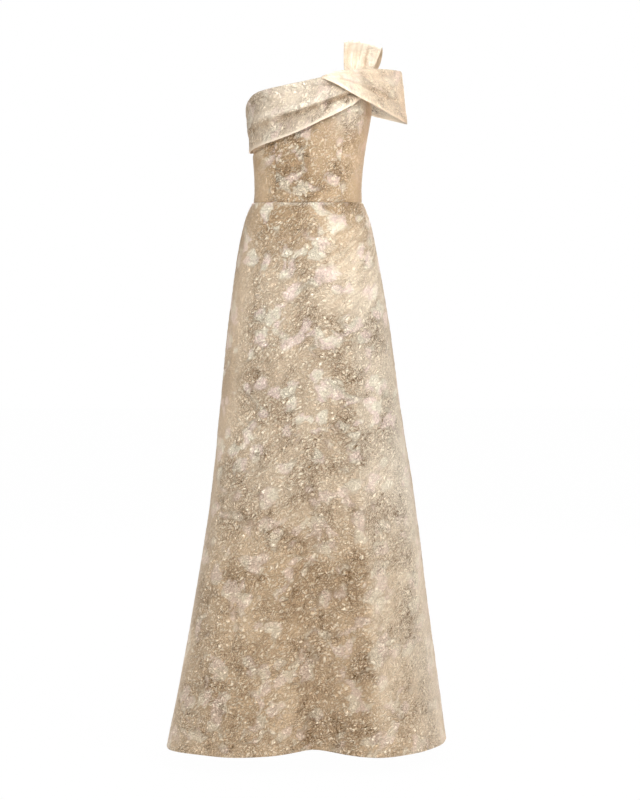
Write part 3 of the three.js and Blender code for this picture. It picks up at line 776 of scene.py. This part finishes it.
front_left, front_right = seam_line("front", -1), seam_line("front", 1)
back_left, back_right = seam_line("back", -1), seam_line("back", 1)
side_left, side_right = fixed(-SIDE_SEAM), fixed(SIDE_SEAM)
bodice_panel("bodice_centre_front", front_left, front_right, 11, lively_middle)
bodice_panel("bodice_side_front_left", side_left, front_left, 12, calm_left)
bodice_panel("bodice_side_front_right", front_right, side_right, 13, calm_right)
bodice_panel("bodice_side_back_left", back_left, side_left, 14, calm_behind)
bodice_panel("bodice_side_back_right", side_right, back_right, 15, calm_behind)
bodice_panel("bodice_back_left", fixed(-180), back_left, 16, lively_middle, left_gap=HALF_ZIP)
bodice_panel("bodice_back_right", back_right, fixed(180), 17, lively_middle, right_gap=HALF_ZIP)
print("bodice: 7 panels, pieces so far", len(CUTS))

# %% [markdown]
# ## The collar
# A wide band is folded over the neckline and pleated along its length, flatter at the left side seam
# and under the drape. Each pleat is a soft ridge that runs along the band, and finer drag lines
# between the pleats keep it from looking pressed.

# %% Collar
# Extra pleat lines along the collar: place across it from the low edge, width and depth in mm
COLLAR_CREASES = ((0.13, 0.07, 2.6), (0.34, 0.055, -6.0), (0.46, 0.055, 4.5), (0.74, 0.05, -1.4),
                  (0.86, 0.05, 1.2))
# Its deep valley, painted as shade, and the lit fold above it, painted as a highlight, and the roll
# of its low edge: height and width in mm
COLLAR_VALLEY, COLLAR_FOLD, LOW_ROLL, LOW_ROLL_WIDTH = 0.35, 0.5, 6.0, 11


def collar_reach(up, fullness):
    reach = sum(r * hump(up - a, s) for a, s, r in zip(*COLLAR_PLEATS.values()))
    return reach * fullness


def collar_painted_light(angle, up, low_edge, full, wander):
    """Painted light where the collar catches the light, from its low edge up to the neckline, and
    painted shade in its valley
    """
    painted_light = 0.2 + 0.42 * full * ease(angle, -94, -44) + 0.2 * hump(low_edge, 6)
    painted_light += 0.14 * full * ease(up, 0.45, 0.75) * ease(angle, -70, -45)
    painted_light += 0.3 * full * hump(up - COLLAR_FOLD - wander, 0.06)
    painted_light -= 0.27 * full * hump(up - COLLAR_VALLEY - wander, 0.07)
    return np.clip(painted_light, 0, 1)


def collar_piece(node, seams, middle, fullness, seed, width):
    across, up = spaced(width, 1.9)[None, :], spaced(92, 1.7)[:, None]
    angle, height = panel(seams, collar_edge, lambda a: upper_edge(a) + CLOTH, middle, across, up)
    full = fullness(across)
    surface = on_body(angle, height, LAYER_GAP + collar_reach(up, full) + FOLDED_CLOTH)
    u, v = measured(surface)
    calm = np.clip(0.25 + 0.4 * hills(u / 50, v / 50, seed), 0, 1) * 0.8
    fine_pleats = 0.9 * ridges(u / 130, v / 15 + 0.5 * hills(u / 70, v / 40, seed + 3), seed + 4)
    relief = crinkle(u, v, seed) * (1 - calm) * 0.5 + fine_pleats * (0.35 + 0.65 * full)
    relief += 0.5 * drag_lines(u, v, 32, 44, 13, seed + 5)
    wander = 0.03 * hills(u / 60, 0 * v, seed + 6)
    for place, wide, depth in COLLAR_CREASES:
        relief += depth * hump(up - place - wander, wide) * full
    low_edge = edge_distance(u, v)[2]
    relief += LOW_ROLL * hump(low_edge, LOW_ROLL_WIDTH) * (0.4 + 0.6 * full)
    relief += 5.0 * full * hump(up - 0.42, 0.3)
    # Calmer crinkle on the lit upper part and along the low edge, with fewer dark cracks there as
    # painted light; in the valley extra dark cracks, as painted shade
    calm = np.maximum(calm, 0.3 * ease(up, 0.5, 0.7) * full)
    calm = calm - 1.0 * hump(up - COLLAR_VALLEY - wander, 0.06) * full
    calm = np.maximum(calm, hump(low_edge - 2, 5))
    return sew(node, surface, FOLDED_CLOTH, relief, calm, double=True, bloom=0.5,
               painted_light=collar_painted_light(angle, up, low_edge, full, wander))


print("collar creases:", len(COLLAR_CREASES))

# %% Collar pieces
def slant(height):
    return blend(64.0, 22.0, ease(height, 1405, 1470))


def rising_right(across):
    return ease(across, -0.1, 0.6) * blend(1, 0.35, ease(across, 0.75, 0.95))


def falling_left(across):
    return 0.4 * ease(1 - across, 0, 1)


def falling_right(across):
    return 0.4 + 0.3 * ease(1 - across, 0, 1)


collar_piece("collar_front", (side_left, slant, HALF_GAP, HALF_GAP), 1400.0, rising_right, 21,
             330)
collar_piece("collar_back_left", (fixed(-180), side_left, HALF_ZIP, HALF_GAP), 1380.0, falling_left,
             22, 180)
collar_piece("collar_back_right", (fixed(146), fixed(180), HALF_GAP, HALF_ZIP), 1380.0, falling_right,
             23, 66)
print("collar: 3 pieces, pieces so far", len(CUTS))

# %% [markdown]
# ## The drape round the arm
# A doubled length of cloth starts in a tight point at the neckline, crosses the front shoulder and
# goes round the upper arm to the back. It fans into soft pleats on the way. Its pleats follow its
# length, so they are made as ridges across the width that grow from the root and fade again behind.

# %% Drape
def drape_edge(word, along):
    return np.stack([read(DRAPE, along, word + axis) for axis in "XYZ"], -1)


def drape_surface(along, across):
    def between(place, share):
        share = np.asarray(share, float)[..., None]
        return drape_edge("low", place) * (1 - share) + drape_edge("top", place) * share

    run = between(np.minimum(along + TINY, 1), 0.5) - between(np.maximum(along - TINY, 0), 0.5)
    outward = np.cross(run, (0.0, 0.0, 1.0))
    outward /= np.linalg.norm(outward, axis=-1)[..., None]
    fullness = ease(along, 0, 0.4) * ease(1 - along, 0, 0.3)
    reach = sum(r * hump(across - a, s) for a, s, r in zip(*DRAPE_PLEATS.values()))
    reach = reach * (1 - 0.85 * hump(along - 0.61, 0.1)) * fullness
    place = between(along, across) + outward * reach[..., None]
    place[..., 2] -= 4.5 * hump(along, 0.07) * across
    return place, fullness


along, across = np.meshgrid(spaced(430, 2.1), spaced(95, 1.9))
surface, fullness = drape_surface(along, across)
u, v = measured(surface)
low_edge = edge_distance(u, v)[2]
print("the drape is", round(np.ptp(u)), "mm long")

# %% Drape folds and painted light
# Where it turns round the arm it lies smooth; a raised fold and a valley slant across its front
turned = 1 - 0.85 * hump(along - 0.63, 0.12)
calm = np.clip(0.35 + 0.5 * hills(u / 50, v / 50, 31), 0, 1) * 0.8
relief = crinkle(u, v, 31) * (1 - calm) * 0.4
pleats = ridges(along * 2.6, across * 7 + 0.6 * hills(along * 5, across * 2, 33), 34)
relief += 1.1 * pleats * (0.3 + 0.7 * fullness) * turned
slanting = across + 0.25 * along
relief += 3.4 * hump(slanting - 0.62, 0.05) * ease(along, 0.05, 0.25) * ease(0.62 - along, 0, 0.2)
relief -= 4.2 * hump(slanting - 0.5, 0.07) * ease(along, 0.15, 0.4) * ease(0.6 - along, 0, 0.12)
relief += 6.0 * hump(low_edge, 12) * ease(along, 0, 0.06) * ease(0.5 - along, 0, 0.3)
calm = np.maximum.reduce([calm, hump(low_edge - 2, 5), 0.85 * hump(along - 0.08, 0.12)])
# Painted light: the drape is paler all over and most near its root, and its inside is painted much
# paler where the back layer hangs in the front layer's shadow
painted_light = 0.4 + 0.24 * hump(along - 0.1, 0.2)
painted_light_outside = painted_light * (1 - 0.7 * ease(along, 0.5, 0.62))
painted_light_inside = painted_light + 0.8 * ease(along, 0.6, 0.64) * ease(0.95 - along, 0, 0.1)
sew("arm_drape", surface, FOLDED_CLOTH, relief, calm,
    double=True, painted_light=(painted_light_outside, painted_light_inside), bloom=0.5)
print("drape done, pieces so far", len(CUTS))

# %% [markdown]
# ## The strap
# The strap is gathered into the neckline in front and behind and fans out over the shoulder. Five
# gathers run its whole length, and finer ones start between them at both roots and die out on top.

# %% Strap
FINE_GATHERS, SOFT_GATHER_REACH = 11, 0.6
across, along = np.meshgrid(spaced(80, 1.5), spaced(290, 1.9))
surface = strap_point(across, along, SOFT_GATHER_REACH)
u, v = measured(surface)
calm = np.clip(0.75 + 0.3 * hills(u / 40, v / 40, 41), 0, 1) * 0.85
roots = ease(0.45 - along, 0, 0.4) + ease(along - 0.55, 0, 0.4)
fine_gathers = np.cos(2 * np.pi * (FINE_GATHERS * across + 0.4 * hills(along * 4, across * 3, 42)))
crest = hump(along - 0.6, 0.13)
relief = 1.0 * fine_gathers * roots + crinkle(u, v, 43) * (1 - calm) * 0.3
broad = ridges(across * 5 + 0.5 * hills(along * 3, across * 2, 45), along * 1.3, 44)
relief += 1.5 * broad * (1 - 0.9 * crest) - 0.6
# Painted light and shade along the gathers, on a strap painted paler all over, less on its crest
shade = 0.8 * fine_gathers * hills(across * 3, along * 3, 48)
shade = shade + ridges(across * 8 + 0.8 * hills(along * 3, across * 2, 46), along * 2.5, 47)
painted_light = np.clip(0.4 + 0.34 * shade * (1 - 0.7 * crest), 0, 1)
sew("shoulder_strap", surface, CLOTH, relief, calm,
    painted_light=painted_light, bloom=0.3)
print("strap done, pieces so far", len(CUTS))

# %% [markdown]
# ## The skirt
# One front and two back panels flare from the waist to the floor. The soft folds come with the solids'
# measurements. On top come the main creases, placed one by one and all different, then the drag lines
# over the hip and the brocade's crinkle. The hem is turned up inside.

# %% Skirt creases
# Each crease is a line of points, then its width and depth, as on the bodice
SKIRT_CREASES = {
    "skirt_front": [
        ([(78, 985), (96, 760), (112, 520), (126, 280), (139, 40)], 18, 9.5),
        ([(46, 900), (62, 700), (80, 460), (92, 200), (100, 40)], 20, -8.0),
        ([(5, 130), (5, 80), (6, 44)], 7, -6.0),
        ([(-60, 1160), (-40, 1120), (-8, 1090)], 10, -1.6),
        ([(20, 1172), (58, 1130), (104, 1096)], 8, 2.2),
        ([(8, 1140), (50, 1086), (92, 1040)], 9, -1.8), ([(44, 1080), (84, 1010), (128, 960)], 10, 1.8),
        ([(-98, 1110), (-80, 1010), (-88, 880)], 16, 2.0),
        ([(-30, 1040), (-20, 900), (-34, 760)], 22, -2.0),
        ([(-130, 820), (-120, 640), (-140, 440)], 20, -2.4),
        ([(20, 760), (14, 600), (22, 420)], 18, 1.8),
        ([(-70, 560), (-62, 380), (-78, 190)], 20, 2.4),
        ([(160, 620), (182, 420), (214, 190)], 20, -2.2),
        ([(-180, 420), (-200, 250), (-236, 90)], 18, 4.5),
        ([(-150, 400), (-168, 240), (-196, 70)], 18, -4.0)],
    "skirt_back_left": [
        ([(-60, 1150), (-44, 1090), (-52, 980)], 10, -1.8),
        ([(-20, 1120), (-30, 980), (-24, 800)], 16, 2.0),
        ([(-110, 1080), (-116, 900), (-130, 700)], 18, 2.2),
        ([(-70, 760), (-84, 520), (-96, 260)], 22, -2.6),
        ([(-150, 560), (-176, 330), (-204, 110)], 20, 2.4),
        ([(-30, 480), (-40, 280), (-52, 80)], 18, -2.2)],
    "skirt_back_right": [
        ([(26, 1156), (48, 1100), (44, 1000)], 9, 1.8), ([(80, 1120), (92, 980), (88, 820)], 16, -2.0),
        ([(118, 1040), (132, 850), (150, 640)], 20, 2.4), ([(36, 800), (50, 560), (58, 300)], 22, 2.2),
        ([(110, 600), (128, 360), (150, 120)], 20, -2.6),
        ([(190, 420), (214, 250), (236, 90)], 18, 2.2)],
}
print("creases on the skirt:", sum(len(lines) for lines in SKIRT_CREASES.values()))

# %% Skirt places and painted light
# The front's long crease runs down from the right hip, and light is painted on its right side: where
# its foot is across the front, how far it leans to the left for each mm of height, and the heights
# between which it leans
CREST_FOOT, CREST_LEAN, CREST_LOW, CREST_LENGTH = 139, 61 / 935, 50, 940
# The raised fold just under the waist seam, which also gets a painted highlight: how far it lies from
# the edge, and how wide it is
WAIST_FOLD, WAIST_FOLD_WIDTH = 3.5, 2.4


def at_side_seam(angle, front):
    """1 at the side seams, so that the front and the back meet there in one tone"""
    return ease(np.abs(angle), 72, 92) if front else ease(np.abs(angle), 126, 98)


def calm_side(angle, height, front):
    """How much the crinkle dies away towards the sides, where the front has a plain band"""
    start = np.where(angle < 0, blend(58, 44, ease(height, 500, 900)), 60)
    share = ease(np.abs(angle), start, start + 22) if front else 0.12
    return blend(share, 0.4, at_side_seam(angle, front))


def hip_strain(x, angle, height, front):
    """Where the cloth is strained over the hip, most of all at the front's right"""
    share = blend(ease(x, -20, 50) if front else 0.3, 0.3, at_side_seam(angle, front))
    return share * ease(height, 900, 1010) * ease(1190 - height, 0, 50)


def lit_crest(x, angle, height):
    """The front right of the long crease, which faces the light"""
    beside = x - (CREST_FOOT - CREST_LEAN * np.clip(height - CREST_LOW, 0, CREST_LENGTH))
    shown = ease(beside, -6, 22) * ease(np.abs(height - 560), 640, 300)
    return shown * (1 - at_side_seam(angle, True))


def skirt_painted_light(x, angle, height, top_edge, front, hip, lit):
    """How much light is painted on the cloth: its lit crest, hip, edges, middle and lower part, and the
    fold under the waist
    """
    at_seam = at_side_seam(angle, front)
    centre = blend(ease(angle, -85, -35) if front else 0.6, 0.35, at_seam)
    painted_light = 0.24 * lit + 0.1 * hip + 0.08 * ease(700 - height, 0, 300)
    painted_light += 0.33 * ease(height, 400, 640) * ease(WAIST - height, 0, 200) * centre
    if front:
        # Painted light on the front's edges, most at the lower right
        edges = 0.22 * ease(angle, 50, 68) * ease(900 - height, 0, 300) + 0.1 * ease(-angle, 44, 62)
        painted_light += edges * (1 - at_seam)
        # A painted highlight along the raised fold under the waist seam, across the middle
        painted_light += hump(top_edge - WAIST_FOLD, WAIST_FOLD_WIDTH) * ease(x, -75, -55) * ease(60 - x, 0, 20)
    return painted_light


print("the crest leans", round(float(np.degrees(np.arctan(CREST_LEAN))), 1), "degrees to the left")

# %% A skirt panel
HEM_TURN_UP, HEM_TURN_UP_DEPTH = 30, 0.7
SKIRT_WIDTH, SKIRT_LENGTH, SKIRT_STEP, SKIRT_MIDDLE = 650, 1155, 5.3, 600.0


def skirt_panel(node, left, right, seed, columns):
    across = spaced(SKIRT_WIDTH, SKIRT_WIDTH / columns)[None, :]
    up = spaced(SKIRT_LENGTH, SKIRT_STEP)[:, None]
    angle, height = panel((left, right, HALF_GAP, HALF_GAP), hem_edge, fixed(WAIST - HALF_GAP),
                          SKIRT_MIDDLE, across, up)
    surface = on_body(angle, height)
    x, front = surface[..., 0], node == "skirt_front"
    u, v = measured(surface)
    edges = edge_distance(u, v)
    hip = hip_strain(x, angle, height, front)
    lit = lit_crest(x, angle, height) if front else 0.0
    calm = 0.78 * calm_side(angle, height, front) + 0.22 * hills(u / 90, v / 90, seed)
    calm = np.clip(calm, 0, 1)
    relief = crinkle(u, v, seed) * (1 - 0.8 * calm) - 0.3
    relief += 0.7 * drag_lines(u, v, 40, 30, 13, seed + 11) * (1 - 0.8 * calm)
    relief += 1.4 * drag_lines(u, v, 42, 110, 13, seed + 5) * hip * (1 - 0.6 * calm)
    below_hip = 1 - ease(height, 900, 1010) * ease(1190 - height, 0, 50)
    relief += 0.7 * drag_lines(u, v, 80, 160, 30, seed + 9) * below_hip
    for points, wide, depth in SKIRT_CREASES[node]:
        relief += crease(x, height, points, wide, depth)
    relief += seam_pull(edges[:2] + edges[3:], u, v, seed)
    relief += 1.5 * hump(edges[3] - WAIST_FOLD, WAIST_FOLD_WIDTH)
    streak = hip + 0.5 * lit * ease(height, 150, 300) * ease(560 - height, 0, 120)
    return sew(node, surface, CLOTH, relief, np.maximum(calm, 0.35 * hip),
               inside=HEM_TURN_UP_DEPTH * ease(HEM_TURN_UP - edges[2], -0.8, 0.8), streak=streak,
               painted_light=skirt_painted_light(x, angle, height, edges[3], front, hip, lit),
               bloom=blend(0.42, 0.85, ease(height, 480, 800)))


print("the hem is turned up", HEM_TURN_UP, "mm")

# %% Skirt panels
skirt_panel("skirt_front", side_left, side_right, 51, 180)
skirt_panel("skirt_back_left", fixed(-180), side_left, 52, 104)
skirt_panel("skirt_back_right", side_right, fixed(180), 53, 104)
print("skirt: 3 pieces, pieces so far", len(CUTS))

# %% [markdown]
# ## The zip
# An invisible zip closes the centre back: from outside only the slider's tab shows. The tape is a woven
# strip inside the seam, its coil is a row of small bars and its sewing two rows of stitches. Rows are
# what Geometry Nodes are for: one small tree puts a bar on evenly spaced points of a line, and its
# inputs give the spacing and the size.

# %% Zip tape piece
def tape_edge(side):
    return lambda height: 180 + side * degrees(ZIP["width"] / 2, 180.0, height)


tape_top = upper_edge(180.0) - CLOTH
TAPE_ROLL = (0.2, 0.5)
across = spaced(ZIP["width"], 1.1, TAPE_ROLL)[None, :]
up = spaced(390, 3.2, TAPE_ROLL)[:, None]
angle, height = panel((tape_edge(-1), tape_edge(1), 0.0, 0.0), fixed(ZIP["bottom"]), fixed(tape_top),
                      1200.0, across, up)
surface = on_body(angle, height, -CLOTH - ZIP["gap"])
u, v = measured(surface)
sew("zip_tape", surface, ZIP["thickness"], 0.08 * hills(u / 6, v / 9, 61), 0 * u,
    material=TAPE)
print("cloth cut:", round(sum(area for _, _, area in CUTS.values()), 3), "m2 in", len(CUTS), "pieces")

# %% A tree for a row of bars
BAR_SIDES = 7


def row_tree(name, finish):
    """A node tree that puts a small rounded bar on evenly spaced points of a line"""
    tree = bpy.data.node_groups.new(name, "GeometryNodeTree")
    sockets = {}
    socket = tree.interface.new_socket
    socket("Geometry", in_out="INPUT", socket_type="NodeSocketGeometry")
    for label in ("Spacing", "Bar length", "Bar radius"):
        sockets[label] = socket(label, in_out="INPUT", socket_type="NodeSocketFloat").identifier
    sockets["Turn"] = socket("Turn", in_out="INPUT", socket_type="NodeSocketVector").identifier
    socket("Geometry", in_out="OUTPUT", socket_type="NodeSocketGeometry")
    given = tree.nodes.new("NodeGroupInput").outputs
    curve = add(tree, "GeometryNodeMeshToCurve", {"Mesh": given["Geometry"]})
    even = add(tree, "GeometryNodeResampleCurve", {"Curve": curve, "Length": given["Spacing"]},
               mode="LENGTH")
    tangent = add(tree, "GeometryNodeInputTangent")
    facing = add(tree, "FunctionNodeAlignRotationToVector", {"Vector": tangent}, axis="Z")
    facing = add(tree, "FunctionNodeRotateRotation",
                 {"Rotation": facing, "Rotate By": given["Turn"]}, rotation_space="LOCAL")
    bar = add(tree, "GeometryNodeMeshCylinder",
              {"Vertices": BAR_SIDES, "Radius": given["Bar radius"], "Depth": given["Bar length"]})
    placed = add(tree, "GeometryNodeInstanceOnPoints",
                 {"Points": even, "Instance": bar, "Rotation": facing})
    real = add(tree, "GeometryNodeRealizeInstances", {"Geometry": placed})
    done = add(tree, "GeometryNodeSetMaterial", {"Geometry": real, "Material": finish})
    tree.links.new(done, tree.nodes.new("NodeGroupOutput").inputs["Geometry"])
    return tree, sockets


print("a bar has", BAR_SIDES, "sides")

# %% A row of bars along a line
def row_of_bars(name, points, finish, spacing, length, radius, turn_by=(0.0, 0.0, 0.0)):
    line = bpy.data.meshes.new(name + "_line")
    line.from_pydata(to_frame(points).tolist(), [(i, i + 1) for i in range(len(points) - 1)], [])
    carrier = stand(name + "_line", line)
    modifier = carrier.modifiers.new("row", "NODES")
    modifier.node_group, sockets = row_tree(name + "_row", finish)
    sizes = {"Spacing": spacing / 1000, "Bar length": length / 1000, "Bar radius": radius / 1000,
             "Turn": turn_by}
    for label, value in sizes.items():
        modifier[sockets[label]] = value
    bpy.context.view_layer.update()
    ready = carrier.evaluated_get(bpy.context.evaluated_depsgraph_get())
    made = bpy.data.meshes.new_from_object(ready)
    bpy.data.objects.remove(carrier)
    made.name = name
    piece = stand(name, made)
    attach(piece, "dress")
    print(f"{name}: {len(made.polygons)} faces")
    return piece


print("row builder ready")

# %% Coil and stitches
TAPE_BACK = -CLOTH - ZIP["gap"] - ZIP["thickness"]
QUARTER_TURN = np.pi / 2
STITCH_LINE = 8.2
levels = np.linspace(ZIP["bottom"] + 6, tape_top - 4, 120)
coil_line = on_body(180.0 + 0 * levels, levels, TAPE_BACK - 0.3)
coil = row_of_bars("zip_coil", coil_line, GOLD, 1.4, 4.4, 0.45, (0.0, QUARTER_TURN, 0.0))
for side, name in ((-1, "zip_stitches_left"), (1, "zip_stitches_right")):
    angles = 180 + side * degrees(STITCH_LINE, 180.0, levels)
    stitches = row_of_bars(name, on_body(angles, levels, TAPE_BACK - 0.1), THREAD, 3.4, 2.6, 0.28)
print("the tape's stitches run", STITCH_LINE, "mm from the coil")

# %% Hem stitches
ABOVE_TURN_UP = 1.5


def hem_row(name, start, end):
    angles = np.linspace(start, end, 260)
    heights = hem_edge(angles) + HEM_TURN_UP + ABOVE_TURN_UP
    stitches = row_of_bars(name, on_body(angles, heights, -CLOTH - 0.35), THREAD, 9.0, 3.2, 0.3)


hem_row("hem_stitches_front", -SIDE_SEAM + 1, SIDE_SEAM - 1)
hem_row("hem_stitches_back_left", -179, -SIDE_SEAM - 1)
hem_row("hem_stitches_back_right", SIDE_SEAM + 1, 179)
print("hem stitches: 3 rows")

# %% [markdown]
# ## The pull
# The slider and its tab are small castings. Their CAD solids have the right form but knife edges, so
# each is copied, merged and given a small rounded edge, as a casting has. A Bevel modifier would do
# the same, but here the flat faces are joined first, which keeps the bevel clean.

# %% Slider and tab
# Angles in radians: faces joined as flat, edges that are bevelled, edges that are shaded as sharp
FLAT, SHARP_EDGE, SMOOTH_EDGE = 0.02, 0.6, 0.7


def rounded_copy(node, body, bevel):
    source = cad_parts[node]
    source = bpy.data.objects[source] if isinstance(source, str) else source
    shape = bmesh.new()
    shape.from_mesh(source.data)
    bmesh.ops.remove_doubles(shape, verts=shape.verts, dist=1e-6)
    bmesh.ops.dissolve_limit(shape, angle_limit=FLAT, verts=shape.verts, edges=shape.edges)
    sharp = [edge for edge in shape.edges if edge.is_manifold and edge.calc_face_angle() > SHARP_EDGE]
    bmesh.ops.bevel(shape, geom=sharp, offset=bevel / 1000, segments=3, profile=0.5, affect="EDGES",
                    clamp_overlap=True)
    mesh = bpy.data.meshes.new(node + "_cast")
    shape.to_mesh(mesh)
    shape.free()
    mesh.shade_smooth()
    mesh.set_sharp_from_angle(angle=SMOOTH_EDGE)
    piece = stand(node + "_cast", mesh)
    piece.data.materials.append(GOLD)
    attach(piece, body)
    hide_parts(node)
    print(piece.name, len(mesh.polygons), "faces")


rounded_copy("zip_slider", "dress", 0.22)
rounded_copy("zip_tab", "zip_tab", 0.18)

# %% [markdown]
# ## Stage, light and camera
# A plain white floor and backdrop, as in a shop photograph. One large soft light stands high in front
# on the right, a weaker one fills the left, and one behind rims the outline. A warm one at the right
# lifts the skirt's edge, and a narrow one the fold under the drape. The pale world lights the rest.
# The camera is at chest height, 5.5 m away, so the view is nearly flat.

# %% Floor
FLOOR, FLOOR_REACH = -float(HOLD[2]) / 1000, 12.0
floor_mesh = bpy.data.meshes.new("floor")
corners = [(x * FLOOR_REACH, y * FLOOR_REACH, FLOOR) for x, y in ((-1, -1), (1, -1), (1, 1), (-1, 1))]
floor_mesh.from_pydata(corners, [], [(0, 1, 2, 3)])
floor = stand("floor", floor_mesh)
WHITE, tree, shader = material("studio_white")
place = add(tree, "ShaderNodeTexCoord", out=3)
paper = add(tree, "ShaderNodeTexNoise", {"Vector": place, "Scale": 3.0})
wire(tree, shader, {"Base Color": colours(tree, paper, (0.8, 0.8, 0.8, 1), (0.82, 0.82, 0.82, 1)),
                    "Roughness": 0.9})
# To the camera the floor is pure white, and to the dress it is pale paper
seen = times(tree, add(tree, "ShaderNodeLightPath"), 0.99)
glow = add(tree, "ShaderNodeEmission", {"Color": (1, 1, 1, 1), "Strength": 1.0})
mixed = add(tree, "ShaderNodeMixShader", {0: seen, 1: shader.outputs[0], 2: glow})
wire(tree, tree.nodes["Material Output"], {"Surface": mixed})
floor.data.materials.append(WHITE)
print("floor at", round(FLOOR, 4), "m")

# %% Lights
def softbox(name, place, aim, size, power, spread=180):
    """An area light that looks at a point; its size is in metres, its power in watts"""
    light = bpy.data.lights.new(name, "AREA")
    light.spread = np.radians(spread)
    light.shape, light.size, light.size_y, light.energy = "RECTANGLE", *size, power
    lamp = stand(name, light)
    lamp.location = place
    x, y, z = np.array(aim) - np.array(place)
    lamp.rotation_euler = (np.arctan2(np.hypot(x, y), -z), 0, np.arctan2(-x, y))
    return light


softbox("key", (2.1, -2.6, 1.4), (-0.1, 0, -0.35), (1.1, 1.1), 97)
softbox("fill", (-2.5, -3.1, 1.0), (-0.1, 0, -0.5), (1.8, 2.2), 77)
softbox("top", (0.3, -0.8, 2.4), (0.0, 0, 0.0), (1.4, 1.2), 12)
softbox("back", (0.2, 3.9, 1.0), (-0.1, 0, -0.7), (2.4, 2.6), 100)
side = softbox("side", (2.6, -0.8, -1.2), (0.15, 0, -1.15), (0.8, 1.2), 8)
side.color = (1.0, 0.86, 0.7)
softbox("kicker", (1.3, -2.4, -0.95), (0.17, 0, -0.13), (0.4, 0.4), 0.63, 14)
print("lights:", [light.name for light in bpy.data.lights])

# %% World
world = bpy.data.worlds.new("studio")
bpy.context.scene.world = world
world.use_nodes = True
tree = world.node_tree
for old in list(tree.nodes):
    tree.nodes.remove(old)
seen = add(tree, "ShaderNodeLightPath")
upward = add(tree, "ShaderNodeSeparateXYZ", {0: add(tree, "ShaderNodeTexCoord")}, out=2)
dome = window(tree, upward, -0.2, 0.9, 0.28, 0.75)
glow = add(tree, "ShaderNodeMix", {0: seen, 2: dome, 3: 1.0}, data_type="FLOAT")
sky = add(tree, "ShaderNodeBackground", {"Color": (1, 1, 1, 1), "Strength": glow})
tree.links.new(sky, tree.nodes.new("ShaderNodeOutputWorld").inputs["Surface"])
bpy.context.scene.view_settings.view_transform = "Standard"
print("world:", len(tree.nodes), "nodes")

# %% Camera
CAMERA_DISTANCE, CAMERA_HEIGHT, AIM_HEIGHT, FRAME_HEIGHT = 5.5, 1.1, 0.7708, 1.72
SENSOR, ASIDE = 36, 24.5
centre_x, centre_y = (ASIDE - HOLD[0]) / 1000, -HOLD[1] / 1000
drop = CAMERA_HEIGHT - AIM_HEIGHT
lens = bpy.data.cameras.new("camera")
lens.sensor_width = SENSOR
lens.lens = SENSOR * np.hypot(CAMERA_DISTANCE, drop) / FRAME_HEIGHT
lens.clip_end = 100
camera = stand("camera", lens)
camera.location = (centre_x, centre_y - CAMERA_DISTANCE, FLOOR + CAMERA_HEIGHT)
camera.rotation_euler = (np.pi / 2 - np.arctan2(drop, CAMERA_DISTANCE), 0, 0)
bpy.context.scene.camera = camera
print("lens", round(lens.lens, 1), "mm")
